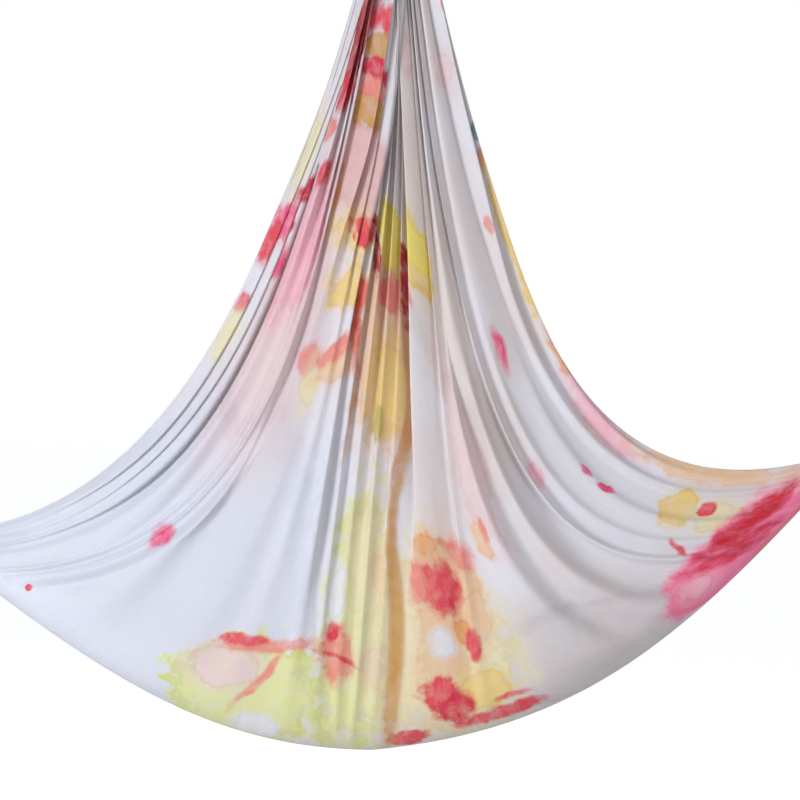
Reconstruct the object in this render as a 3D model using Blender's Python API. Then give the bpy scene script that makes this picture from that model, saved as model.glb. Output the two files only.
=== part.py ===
"""Aerial hammock hung from one point: a draped sling cloth, two webbing chokers, three screw-gate
carabiners and a ball-bearing swivel.

Metres, +Z up. X runs across the cloth and Y through it, with the front at -Y. The origin is the
inside of the top carabiner's upper bow, where whatever holds the hammock up bears on it.
"""
import math

import bmesh
import bpy
import numpy as np
from mathutils import Matrix

# Clearances shared by all pieces
SEAT_GAP = 0.0003
CUT_OVERRUN = 0.003
MERGE_DISTANCE = 0.000001

# Carabiner frame, a bent round rod
ROD_RADIUS = 0.0055
BOW_RADIUS = 0.023
SPINE_LENGTH = 0.056
HINGE_BELOW_CENTRE = 0.0215
GATE_LENGTH = 0.0415
GATE_TIP_GAP = 0.0008
ROD_SIDES = 12
BOW_STEPS = 14

# Gate, its hinge pin and the tongue that locks it to the nose
GATE_RADIUS = 0.0052
GATE_SIDES = 16
TONGUE_THICKNESS = 0.004
TONGUE_LENGTH = 0.006
TONGUE_HALF_WIDTH = 0.0036
TENON_RADIUS = 0.0044
PIN_RADIUS = 0.0016
PIN_SIDES = 16

# Plunger and spring in the gate's bore
BORE_RADIUS = 0.0026
PLUNGER_LENGTH = 0.009
SPRING_LENGTH = 0.012
SPRING_WIRE_RADIUS = 0.00035
SPRING_TURNS = 6

# Knurled screw sleeve on the gate
SLEEVE_LENGTH = 0.022
SLEEVE_RADIUS = 0.0077
SLEEVE_LIP_RADIUS = 0.0070
SLEEVE_LIP_LENGTH = 0.0028
SLEEVE_ABOVE_PIN = 0.0135
KNURL_DEPTH = 0.0005
KNURL_COUNT = 18

# Swivel: forged eye and bearing housing above, eye and shaft below
EYE_HOLE_RADIUS = 0.015
EYE_SECTION_RADIUS = 0.0065
EYE_STEPS = 28
EYE_SIDES = 10
HOUSING_RADIUS = 0.0180
HOUSING_NECK_RADIUS = 0.0150
HOUSING_HEIGHT = 0.030
HOUSING_EDGE = 0.002
COUNTERBORE_RADIUS = 0.0125
COUNTERBORE_DEPTH = 0.0165
SHAFT_RADIUS = 0.0062
BOSS_RADIUS = 0.0130
BOSS_HEIGHT = 0.0060
SEAL_THICKNESS = 0.0016
TURNED_SIDES = 24
LOWER_EYE_WIDTH = 0.048
LOWER_EYE_TOP_WIDTH = 0.030
LOWER_EYE_HEIGHT = 0.037
LOWER_EYE_CORNER_RADIUS = 0.0095
LOWER_EYE_CORNER_STEPS = 5

# Thrust bearing and nut inside the housing
RACE_THICKNESS = 0.0028
BALL_RADIUS = 0.0019
BALL_COUNT = 10
CAGE_THICKNESS = 0.0012
GROOVE_DEPTH = 0.0008
NUT_THICKNESS = 0.0060
NUT_ACROSS_FLATS = 0.0180

# Lower carabiners, side by side on the swivel's bar and leaning apart, one to each end of the cloth
CARABINER_OFFSET = 0.0070
LEAN_DEGREES = 12.0

# Webbing choker
WEBBING_WIDTH = 0.016
WEBBING_THICKNESS = 0.0026
WRAP_PITCH = 0.0205
WRAP_TURN_RADIUS = 0.012
WRAP_CROSSING_GAP = 0.0005
WRAP_STEPS = 40
LEG_STEPS = 12

# Gathered end of the cloth: heights below the swivel's bar, along the leaning limb
TAIL_TOP = 0.130
KNOT_CENTRE = 0.195
KNOT_HALF_HEIGHT = 0.030
WRAP_TOP = 0.230
NECK_END = 0.298
TAIL_RADIUS = 0.010
KNOT_RADIUS = 0.031
NECK_RADIUS = 0.0205
NECK_END_RADIUS = 0.0235
FLUTE_COUNT = 9
FLUTE_DEPTH_SHARE = 0.16
KNOT_FLUTE_SHARE = 0.08
KNOT_TWIST_DEGREES = 20.0
KNOT_RADIUS_SHARES = (0.90, 1.0, 1.0, 0.86)
KNOT_HEIGHT_SHARES = (0.62, 0.20, -0.20, -0.62)
TAIL_WAIST_SHARE = 0.3
GATHER_SIDES = 36

# Sling cloth
SLING_SPREAD = 2.445
SLING_DROP = 2.205
SLING_DEPTH = 0.30
CLOTH_THICKNESS = 0.003
BALANCE_TURN_DEGREES = 1.53
FOLD_DEPTH = 0.026
NECK_FOLD_DEPTH = 0.004
FOLD_COUNT = 12
COLUMNS_PER_FOLD = 2
PANEL_ROWS = 10
ROW_CROWDING_SHARE = 0.35
ROUNDING_STEPS = 3

# The cloth's fold lines, from the left selvedge to the right one. Each is a Bezier curve from the
# neck to the bottom fold: its guide points are shares of the spread and of the drop.
FOLD_LINE_SHARES = (-1.0, -0.5, -0.25, 0.0, 0.25, 0.5, 1.0)
UPPER_GUIDE_X_SHARES = (-0.115, -0.068, -0.010, 0.018, 0.030, 0.052, 0.108)
UPPER_GUIDE_Z_SHARES = (0.290, 0.230, 0.325, 0.325, 0.370, 0.330, 0.285)
LOWER_GUIDE_X_SHARES = (-0.182, -0.035, -0.086, 0.001, 0.045, 0.050, 0.120)
LOWER_GUIDE_Z_SHARES = (0.736, 0.835, 0.665, 0.670, 0.700, 0.940, 0.791)
BOTTOM_PLACE_SHARES = (-1.0, -0.86, -0.15, 0.0, 0.22, 0.86, 1.0)

# The bottom fold, as two Bezier curves that meet at the lowest point
BOTTOM_LEFT_X_SHARES = (-0.512, -0.310, -0.200, -0.030)
BOTTOM_LEFT_Z_SHARES = (0.745, 0.920, 0.998, 1.0)
BOTTOM_RIGHT_X_SHARES = (-0.030, 0.194, 0.310, 0.488)
BOTTOM_RIGHT_Z_SHARES = (1.0, 0.977, 0.864, 0.642)

# How deep the pocket is along the cloth, as shares of half its depth
DEPTH_PLACE_SHARES = (0.0, 0.2, 0.45, 0.7, 0.93)
DEPTH_SHARES = (0.66, 1.0, 0.90, 0.75)
BOTTOM_ROUND_SHARE = 0.93
TIP_CLOSING_SHARE = 0.88
TIP_CLOSING_POWER = 0.6
NECK_TILT_POWER = 8

# How the folds deepen down the cloth and fade towards its two sides
FOLD_RISE_POWER = 0.6
FOLD_EDGE_SHARE = 0.5
NECK_FOLD_POWER = 4

# Places and sizes that follow from the ones above
INNER_HALF_HEIGHT = SPINE_LENGTH / 2 + BOW_RADIUS - ROD_RADIUS
TOP_CENTRE = -INNER_HALF_HEIGHT
BASKET_BELOW_CENTRE = SPINE_LENGTH / 2 + BOW_RADIUS
SWING_AXIS_Z = TOP_CENTRE - BASKET_BELOW_CENTRE
EYE_CENTRE_Z = SWING_AXIS_Z + ROD_RADIUS + SEAT_GAP - EYE_HOLE_RADIUS
HOUSING_TOP = EYE_CENTRE_Z - EYE_HOLE_RADIUS
HOUSING_BOTTOM = HOUSING_TOP - HOUSING_HEIGHT
COUNTERBORE_FLOOR = HOUSING_TOP - COUNTERBORE_DEPTH
BOSS_TOP = HOUSING_BOTTOM - SEAL_THICKNESS - 2 * SEAT_GAP
BAR_Z = BOSS_TOP - BOSS_HEIGHT - LOWER_EYE_HEIGHT
CARABINER_BELOW_BAR = INNER_HALF_HEIGHT - SEAT_GAP - EYE_SECTION_RADIUS
BASKET_BELOW_BAR = CARABINER_BELOW_BAR + BASKET_BELOW_CENTRE
LEAN = math.radians(LEAN_DEGREES)
NECK_Y = (NECK_END + SEAT_GAP) * math.sin(LEAN)
NECK_Z = BAR_Z - (NECK_END + SEAT_GAP) * math.cos(LEAN)
NOSE_Z = GATE_LENGTH - HINGE_BELOW_CENTRE + GATE_TIP_GAP
HINGE_END_Z = -HINGE_BELOW_CENTRE - GATE_RADIUS - SEAT_GAP


def make_material(name, colour, metallic, roughness):
    material = bpy.data.materials.new(name)
    material.use_nodes = True
    shader = material.node_tree.nodes["Principled BSDF"]
    shader.inputs["Base Color"].default_value = (*colour, 1.0)
    shader.inputs["Metallic"].default_value = metallic
    shader.inputs["Roughness"].default_value = roughness
    return material


def add_empty(name, location, rotation=(0, 0, 0), parent=None):
    empty = bpy.data.objects.new(name, None)
    bpy.context.collection.objects.link(empty)
    empty.location = location
    empty.rotation_euler = rotation
    empty.parent = parent
    return empty


def add_object(name, mesh, finish, parent=None, location=(0, 0, 0)):
    """Put a mesh into the scene as one named piece with its own material."""
    obj = bpy.data.objects.new(name, mesh)
    bpy.context.collection.objects.link(obj)
    obj.location = location
    obj.parent = parent
    mesh.materials.clear()
    mesh.materials.append(make_material(name, *finish))
    mesh.shade_smooth()
    mesh.set_sharp_from_angle(angle=math.radians(38))
    return obj


def add_guide(name, mesh, parent=None, location=(0, 0, 0)):
    """A solid that only cuts or joins another piece."""
    guide = bpy.data.objects.new(name, mesh)
    bpy.context.collection.objects.link(guide)
    guide.location = location
    guide.parent = parent
    guide.hide_render = True
    guide.display_type = "WIRE"
    return guide


def combine(obj, guide, operation):
    modifier = obj.modifiers.new(operation.title() + " " + guide.name, "BOOLEAN")
    modifier.operation = operation
    modifier.solver = "EXACT"
    modifier.object = guide


def loft(name, rings, closed=False):
    """Mesh through a list of rings, with flat caps on both ends unless the rings close on themselves."""
    rings = np.asarray(rings)
    count, around = rings.shape[:2]
    work = bmesh.new()
    corners = [[work.verts.new(point) for point in ring] for ring in rings]
    spans = count if closed else count - 1
    for i in range(spans):
        here, there = corners[i], corners[(i + 1) % count]
        for j in range(around):
            k = (j + 1) % around
            work.faces.new((here[j], here[k], there[k], there[j]))
    if not closed:
        work.faces.new(corners[0])
        work.faces.new(corners[-1])
    bmesh.ops.recalc_face_normals(work, faces=work.faces)
    mesh = bpy.data.meshes.new(name)
    work.to_mesh(mesh)
    work.free()
    return mesh


def circle(radius, sides):
    """Points of a circle in the profile's own plane."""
    angles = np.arange(sides) * 2 * math.pi / sides
    return np.stack([radius * np.cos(angles), radius * np.sin(angles)], axis=1)


def sweep(name, path, outward, profile, closed=False, swell_shares=None):
    """Loft of a profile carried along a path: its first axis follows outward, its second lies across."""
    path = np.asarray(path, dtype=float)
    outward = np.asarray(outward, dtype=float)
    if closed:
        ahead = np.roll(path, -1, axis=0) - np.roll(path, 1, axis=0)
    else:
        ahead = np.gradient(path, axis=0)
    ahead /= np.linalg.norm(ahead, axis=1, keepdims=True)
    outward = outward - (outward * ahead).sum(axis=1, keepdims=True) * ahead
    outward /= np.linalg.norm(outward, axis=1, keepdims=True)
    across = np.cross(ahead, outward)
    swell = np.ones(len(path)) if swell_shares is None else np.asarray(swell_shares)
    rings = (
        path[:, None]
        + swell[:, None, None] * profile[None, :, :1] * outward[:, None]
        + swell[:, None, None] * profile[None, :, 1:] * across[:, None]
    )
    return loft(name, rings, closed)


def turned(name, profile, sides, hollow=False, ripple=None):
    """Turn a profile of (radius, height) points about Z. A hollow profile closes on itself round a bore."""
    angles = np.arange(sides) * 2 * math.pi / sides
    rings = []
    for index, (radius, height) in enumerate(profile):
        radii = radius * np.ones(sides)
        if ripple is not None:
            radii = radii + ripple(index, angles)
        heights = height * np.ones(sides)
        rings.append(np.stack([radii * np.cos(angles), radii * np.sin(angles), heights], axis=1))
    return loft(name, rings, closed=hollow)


def slab(name, outline, thickness):
    """Extrude an outline in the YZ plane by its thickness along X, centred on X = 0."""
    work = bmesh.new()
    face = work.faces.new([work.verts.new((-thickness / 2, y, z)) for y, z in outline])
    result = bmesh.ops.extrude_face_region(work, geom=[face])
    moved = [item for item in result["geom"] if isinstance(item, bmesh.types.BMVert)]
    bmesh.ops.translate(work, verts=moved, vec=(thickness, 0, 0))
    bmesh.ops.recalc_face_normals(work, faces=work.faces)
    mesh = bpy.data.meshes.new(name)
    work.to_mesh(mesh)
    work.free()
    return mesh


def arc(centre, radius, start, end, steps):
    """Points (first, second) along an arc, angles in degrees."""
    angles = np.radians(np.linspace(start, end, steps + 1))
    return np.stack([centre[0] + radius * np.cos(angles), centre[1] + radius * np.sin(angles)], axis=1)


def rod(name, radius, length, sides):
    """A round rod along X, centred on the origin."""
    mesh = turned(name, [(radius, -length / 2), (radius, length / 2)], sides)
    mesh.transform(Matrix.Rotation(math.pi / 2, 4, "Y"))
    return mesh


def rounded_end(half_width, foot, top_radius):
    """Outline of a flat tongue that stands on z = foot and has a round end about the origin."""
    cap = arc((0, 0), top_radius, 0, 180, 8)
    return [(half_width, foot)] + [tuple(point) for point in cap] + [(-half_width, foot)]


def carabiner_frame(name, parent, finish):
    """Rod bent from the nose, round the top bow, down the spine and round the basket to the hinge."""
    half = SPINE_LENGTH / 2
    top = arc((0, half), BOW_RADIUS, 0, 180, BOW_STEPS)
    basket = arc((0, -half), BOW_RADIUS, 180, 360, BOW_STEPS)
    nose = [(BOW_RADIUS, NOSE_Z), (BOW_RADIUS, (NOSE_Z + half) / 2)]
    hinge = [(BOW_RADIUS, (HINGE_END_Z - half) / 2), (BOW_RADIUS, HINGE_END_Z)]
    if HINGE_END_Z < -half:
        hinge = []
    line = np.array(nose + [tuple(p) for p in top] + [tuple(p) for p in basket] + hinge)
    path = np.stack([np.zeros(len(line)), line[:, 0], line[:, 1]], axis=1)
    ends = GATE_RADIUS / ROD_RADIUS
    swell = np.ones(len(line))
    swell[:2] = ends
    swell[-2:] = ends
    sideways = np.tile([1.0, 0, 0], (len(line), 1))
    rod_mesh = sweep(name, path, sideways, circle(ROD_RADIUS, ROD_SIDES), swell_shares=swell)
    frame = add_object(name, rod_mesh, finish, parent)
    tenon_foot = HINGE_END_Z + HINGE_BELOW_CENTRE - CUT_OVERRUN
    tenon = slab(name + "_tenon", rounded_end(TENON_RADIUS, tenon_foot, TENON_RADIUS), TONGUE_THICKNESS)
    combine(frame, add_guide(name + "_tenon", tenon, parent, (0, BOW_RADIUS, -HINGE_BELOW_CENTRE)), "UNION")
    tongue_outline = [
        (-TONGUE_HALF_WIDTH, CUT_OVERRUN),
        (-TONGUE_HALF_WIDTH, -TONGUE_LENGTH),
        (TONGUE_HALF_WIDTH, -TONGUE_LENGTH),
        (TONGUE_HALF_WIDTH, CUT_OVERRUN),
    ]
    tongue = slab(name + "_tongue", tongue_outline, TONGUE_THICKNESS)
    combine(frame, add_guide(name + "_tongue", tongue, parent, (0, BOW_RADIUS, NOSE_Z)), "UNION")
    hole = rod(name + "_pin_hole", PIN_RADIUS + SEAT_GAP, TONGUE_THICKNESS + 2 * CUT_OVERRUN, PIN_SIDES)
    hole_guide = add_guide(name + "_pin_hole", hole, parent, (0, BOW_RADIUS, -HINGE_BELOW_CENTRE))
    combine(frame, hole_guide, "DIFFERENCE")


def carabiner_gate(name, parent, finish):
    """Round gate, slotted at its foot for the hinge tenon and at its tip for the nose's tongue."""
    body = turned(name, [(GATE_RADIUS, -GATE_RADIUS - CUT_OVERRUN), (GATE_RADIUS, GATE_LENGTH)], GATE_SIDES)
    gate = add_object(name, body, finish, parent)
    reach = GATE_RADIUS + CUT_OVERRUN
    foot = [(y, z) for y, z in arc((0, 0), GATE_RADIUS, 180, 360, 12)]
    outline = foot + [
        (GATE_RADIUS + MERGE_DISTANCE, GATE_LENGTH + CUT_OVERRUN),
        (-GATE_RADIUS - MERGE_DISTANCE, GATE_LENGTH + CUT_OVERRUN),
    ]
    round_foot = slab(name + "_round_foot", outline, 2 * reach)
    combine(gate, add_guide(name + "_round_foot", round_foot, parent), "INTERSECT")
    slot_top = TENON_RADIUS + 2 * SEAT_GAP
    slot = [(-reach, -reach), (reach, -reach), (reach, slot_top), (-reach, slot_top)]
    slot_width = TONGUE_THICKNESS + 2 * SEAT_GAP
    hinge_slot = slab(name + "_hinge_slot", slot, slot_width)
    combine(gate, add_guide(name + "_hinge_slot", hinge_slot, parent), "DIFFERENCE")
    tip_floor = GATE_LENGTH - TONGUE_LENGTH - GATE_TIP_GAP
    tip_top = GATE_LENGTH + CUT_OVERRUN
    tip_wall = -TONGUE_HALF_WIDTH - SEAT_GAP
    tip = [(tip_wall, tip_floor), (reach, tip_floor), (reach, tip_top), (tip_wall, tip_top)]
    tip_slot = slab(name + "_tip_slot", tip, slot_width)
    combine(gate, add_guide(name + "_tip_slot", tip_slot, parent), "DIFFERENCE")
    bore_top = slot_top + PLUNGER_LENGTH + SPRING_LENGTH + 2 * SEAT_GAP
    bore_line = [(BORE_RADIUS, slot_top - CUT_OVERRUN), (BORE_RADIUS, bore_top)]
    bore = turned(name + "_bore", bore_line, GATE_SIDES)
    combine(gate, add_guide(name + "_bore", bore, parent), "DIFFERENCE")
    hole = rod(name + "_gate_pin_hole", PIN_RADIUS + SEAT_GAP, 2 * reach, PIN_SIDES)
    combine(gate, add_guide(name + "_gate_pin_hole", hole, parent), "DIFFERENCE")
    return gate


def gate_spring(name, parent, finish):
    """Coil of round wire, standing on the plunger; prints the least gap between its turns."""
    radius = BORE_RADIUS - SEAT_GAP - SPRING_WIRE_RADIUS
    foot = TENON_RADIUS + 3 * SEAT_GAP + PLUNGER_LENGTH + SPRING_WIRE_RADIUS
    rise = SPRING_LENGTH - 2 * SPRING_WIRE_RADIUS
    steps = SPRING_TURNS * 8
    along = np.linspace(0, 1, steps + 1)
    angles = along * SPRING_TURNS * 2 * math.pi
    path = np.stack([radius * np.cos(angles), radius * np.sin(angles), foot + rise * along], axis=1)
    outward = np.stack([np.cos(angles), np.sin(angles), 0 * angles], axis=1)
    apart = np.linalg.norm(path[:, None] - path[None], axis=2)
    turns_between = np.abs(np.subtract.outer(angles, angles)) / (2 * math.pi)
    gap = apart[turns_between > 0.6].min() - 2 * SPRING_WIRE_RADIUS
    print(name, "least gap between turns", round(float(gap), 5))
    return add_object(name, sweep(name, path, outward, circle(SPRING_WIRE_RADIUS, 5)), finish, parent)


def screw_sleeve(name, parent, finish):
    """Sleeve that slides up over the nose: knurled barrel between two plain lips."""
    bore = GATE_RADIUS + SEAT_GAP
    foot, top = SLEEVE_ABOVE_PIN, SLEEVE_ABOVE_PIN + SLEEVE_LENGTH
    ease = SLEEVE_RADIUS - SLEEVE_LIP_RADIUS
    profile = [
        (bore, foot),
        (SLEEVE_LIP_RADIUS, foot),
        (SLEEVE_LIP_RADIUS, foot + SLEEVE_LIP_LENGTH),
        (SLEEVE_RADIUS, foot + SLEEVE_LIP_LENGTH + ease),
        (SLEEVE_RADIUS, top - SLEEVE_LIP_LENGTH - ease),
        (SLEEVE_LIP_RADIUS, top - SLEEVE_LIP_LENGTH),
        (SLEEVE_LIP_RADIUS, top),
        (bore, top),
    ]

    def knurl(index, angles):
        depth = KNURL_DEPTH if index in (3, 4) else 0
        return -depth * (0.5 - 0.5 * np.cos(KNURL_COUNT * angles))

    mesh = turned(name, profile, 2 * KNURL_COUNT, hollow=True, ripple=knurl)
    return add_object(name, mesh, finish, parent)


def carabiner(label, centre):
    """One screw-gate carabiner in the YZ plane of its parent, with its gate on the +Y side."""
    carabiner_frame(label + "_carabiner_frame", centre, STEEL)
    hinge = add_empty(label + "_gate_hinge", (0, BOW_RADIUS, -HINGE_BELOW_CENTRE), parent=centre)
    pin = rod(label + "_hinge_pin", PIN_RADIUS, 2 * GATE_RADIUS, PIN_SIDES)
    add_object(label + "_hinge_pin", pin, STEEL, hinge)
    carabiner_gate(label + "_gate", hinge, STEEL)
    foot = TENON_RADIUS + SEAT_GAP
    radius = BORE_RADIUS - SEAT_GAP
    ease = BORE_RADIUS / 4
    profile = [(radius - ease, foot), (radius, foot + ease), (radius, foot + PLUNGER_LENGTH)]
    plunger = turned(label + "_gate_plunger", profile, PIN_SIDES)
    add_object(label + "_gate_plunger", plunger, STEEL, hinge)
    gate_spring(label + "_gate_spring", hinge, STEEL)
    screw_sleeve(label + "_screw_sleeve", hinge, STEEL)


def swivel_body(finish):
    """Forged ring over a turned housing, counterbored from inside the ring for the bearing."""
    ring_radius = EYE_HOLE_RADIUS + EYE_SECTION_RADIUS
    angles = np.arange(EYE_STEPS) * 2 * math.pi / EYE_STEPS
    path = np.stack([ring_radius * np.cos(angles), 0 * angles, ring_radius * np.sin(angles)], axis=1)
    sideways = np.tile([0, 1.0, 0], (EYE_STEPS, 1))
    ring = sweep("swivel_body", path, sideways, circle(EYE_SECTION_RADIUS, EYE_SIDES), closed=True)
    body = add_object("swivel_body", ring, finish, location=(0, 0, EYE_CENTRE_Z))
    profile = [
        (HOUSING_NECK_RADIUS, HOUSING_BOTTOM),
        (HOUSING_RADIUS, HOUSING_BOTTOM + HOUSING_EDGE),
        (HOUSING_RADIUS, HOUSING_BOTTOM + HOUSING_HEIGHT / 2),
        (HOUSING_NECK_RADIUS, HOUSING_TOP - HOUSING_EDGE),
        (HOUSING_NECK_RADIUS - HOUSING_EDGE / 2, HOUSING_TOP),
    ]
    combine(body, add_guide("swivel_housing", turned("swivel_housing", profile, TURNED_SIDES)), "UNION")
    pocket = [(COUNTERBORE_RADIUS, COUNTERBORE_FLOOR), (COUNTERBORE_RADIUS, HOUSING_TOP + CUT_OVERRUN)]
    counterbore = turned("swivel_counterbore", pocket, TURNED_SIDES)
    combine(body, add_guide("swivel_counterbore", counterbore), "DIFFERENCE")
    bore_radius = SHAFT_RADIUS + SEAT_GAP
    bore = [(bore_radius, HOUSING_BOTTOM - CUT_OVERRUN), (bore_radius, COUNTERBORE_FLOOR + CUT_OVERRUN)]
    combine(body, add_guide("swivel_bore", turned("swivel_bore", bore, TURNED_SIDES)), "DIFFERENCE")


def bearing(race_finish, cage_finish, nut_finish):
    """Two grooved races with a ball cage between them, held down by the shaft's nut."""
    inner = SHAFT_RADIUS + SEAT_GAP
    outer = COUNTERBORE_RADIUS - SEAT_GAP
    pitch_radius = (inner + outer) / 2
    groove_radius = BALL_RADIUS + SEAT_GAP
    groove_half = math.sqrt(groove_radius**2 - (groove_radius - GROOVE_DEPTH) ** 2)

    def race(name, flat, grooved):
        """Race with its flat side at one height and its groove in the other."""
        depth = GROOVE_DEPTH if flat > grooved else -GROOVE_DEPTH
        side = [
            (inner, flat),
            (outer, flat),
            (outer, grooved),
            (pitch_radius + groove_half, grooved),
            (pitch_radius + groove_half / 2, grooved + depth * 3 / 4),
            (pitch_radius, grooved + depth),
            (pitch_radius - groove_half / 2, grooved + depth * 3 / 4),
            (pitch_radius - groove_half, grooved),
            (inner, grooved),
        ]
        add_object(name, turned(name, side, TURNED_SIDES, hollow=True), race_finish)

    lower_foot = COUNTERBORE_FLOOR + SEAT_GAP
    lower_top = lower_foot + RACE_THICKNESS
    ball_centre = lower_top - GROOVE_DEPTH + groove_radius
    upper_foot = 2 * ball_centre - lower_top
    upper_top = upper_foot + RACE_THICKNESS
    race("thrust_race_lower", lower_foot, lower_top)
    race("thrust_race_upper", upper_top, upper_foot)
    cage_outer = pitch_radius + BALL_RADIUS + SEAT_GAP
    cage_inner = pitch_radius - BALL_RADIUS - SEAT_GAP
    low = ball_centre - CAGE_THICKNESS / 2
    high = ball_centre + CAGE_THICKNESS / 2
    ring = [(cage_inner, low), (cage_outer, low), (cage_outer, high), (cage_inner, high)]
    cage_mesh = turned("thrust_ball_cage", ring, 2 * BALL_COUNT, hollow=True)
    cage = add_object("thrust_ball_cage", cage_mesh, cage_finish)
    balls = bmesh.new()
    for i in range(BALL_COUNT):
        turn = Matrix.Rotation(2 * math.pi * i / BALL_COUNT, 4, "Z")
        place = turn @ Matrix.Translation((pitch_radius, 0, ball_centre))
        bmesh.ops.create_uvsphere(balls, u_segments=8, v_segments=6, radius=BALL_RADIUS, matrix=place)
    mesh = bpy.data.meshes.new("thrust_balls")
    balls.to_mesh(mesh)
    balls.free()
    combine(cage, add_guide("thrust_balls", mesh), "UNION")
    nut_foot = upper_top + SEAT_GAP
    nut_top = nut_foot + NUT_THICKNESS
    half_flats = NUT_ACROSS_FLATS / 2

    def hexagon(index, angles):
        """Bring the two outer rings in from a circle to a hexagon of the stated width across flats."""
        if index in (0, 3):
            return 0 * angles
        turn = np.mod(angles + math.pi / 6, math.pi / 3) - math.pi / 6
        return half_flats / np.cos(turn) - half_flats

    nut = [(inner, nut_foot), (half_flats, nut_foot), (half_flats, nut_top), (inner, nut_top)]
    add_object("shaft_nut", turned("shaft_nut", nut, TURNED_SIDES, hollow=True, ripple=hexagon), nut_finish)
    return nut_top


def rounded_loop(corners, radius, steps):
    """Closed path through corners given anticlockwise, each rounded by the same radius."""
    points = []
    count = len(corners)
    for i in range(count):
        before, here, after = (np.array(corners[(i + k) % count]) for k in (-1, 0, 1))
        back = (before - here) / np.linalg.norm(before - here)
        ahead = (after - here) / np.linalg.norm(after - here)
        half_angle = math.acos(np.clip(back @ ahead, -1, 1)) / 2
        centre = here + (back + ahead) / np.linalg.norm(back + ahead) * radius / math.sin(half_angle)
        first = here + back * radius / math.tan(half_angle) - centre
        last = here + ahead * radius / math.tan(half_angle) - centre
        start = math.atan2(first[1], first[0])
        sweep_angle = (math.atan2(last[1], last[0]) - start) % (2 * math.pi)
        for k in range(steps + 1):
            angle = start + sweep_angle * k / steps
            points.append((centre[0] + radius * math.cos(angle), centre[1] + radius * math.sin(angle)))
    return np.array(points)


def lower_eye(shaft_top, finish):
    """Forged eye with a straight bar for two carabiners, in one piece with the swivel's shaft."""
    wide, narrow = LOWER_EYE_WIDTH / 2, LOWER_EYE_TOP_WIDTH / 2
    corners = [(wide, 0), (narrow, LOWER_EYE_HEIGHT), (-narrow, LOWER_EYE_HEIGHT), (-wide, 0)]
    line = rounded_loop(corners, LOWER_EYE_CORNER_RADIUS, LOWER_EYE_CORNER_STEPS)
    path = np.stack([line[:, 0], np.zeros(len(line)), line[:, 1]], axis=1)
    sideways = np.tile([0, 1.0, 0], (len(line), 1))
    ring = sweep("swivel_shaft_eye", path, sideways, circle(EYE_SECTION_RADIUS, EYE_SIDES), closed=True)
    eye = add_object("swivel_shaft_eye", ring, finish, location=(0, 0, BAR_Z))
    ease = BOSS_RADIUS - SHAFT_RADIUS
    stem = [
        (EYE_SECTION_RADIUS, BAR_Z + LOWER_EYE_HEIGHT - EYE_SECTION_RADIUS / 2),
        (BOSS_RADIUS - ease / 4, BAR_Z + LOWER_EYE_HEIGHT + EYE_SECTION_RADIUS / 4),
        (BOSS_RADIUS, BOSS_TOP - BOSS_HEIGHT / 4),
        (BOSS_RADIUS, BOSS_TOP),
        (SHAFT_RADIUS, BOSS_TOP),
        (SHAFT_RADIUS, shaft_top),
    ]
    combine(eye, add_guide("swivel_shaft", turned("swivel_shaft", stem, TURNED_SIDES)), "UNION")


def dust_seal(finish):
    """Rubber ring between the housing and the lower eye's boss."""
    foot, top = BOSS_TOP + SEAT_GAP, HOUSING_BOTTOM - SEAT_GAP
    inner = SHAFT_RADIUS + SEAT_GAP
    ring = [(inner, foot), (BOSS_RADIUS, foot), (BOSS_RADIUS, top), (inner, top)]
    add_object("dust_seal", turned("dust_seal", ring, TURNED_SIDES, hollow=True), finish)


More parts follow.
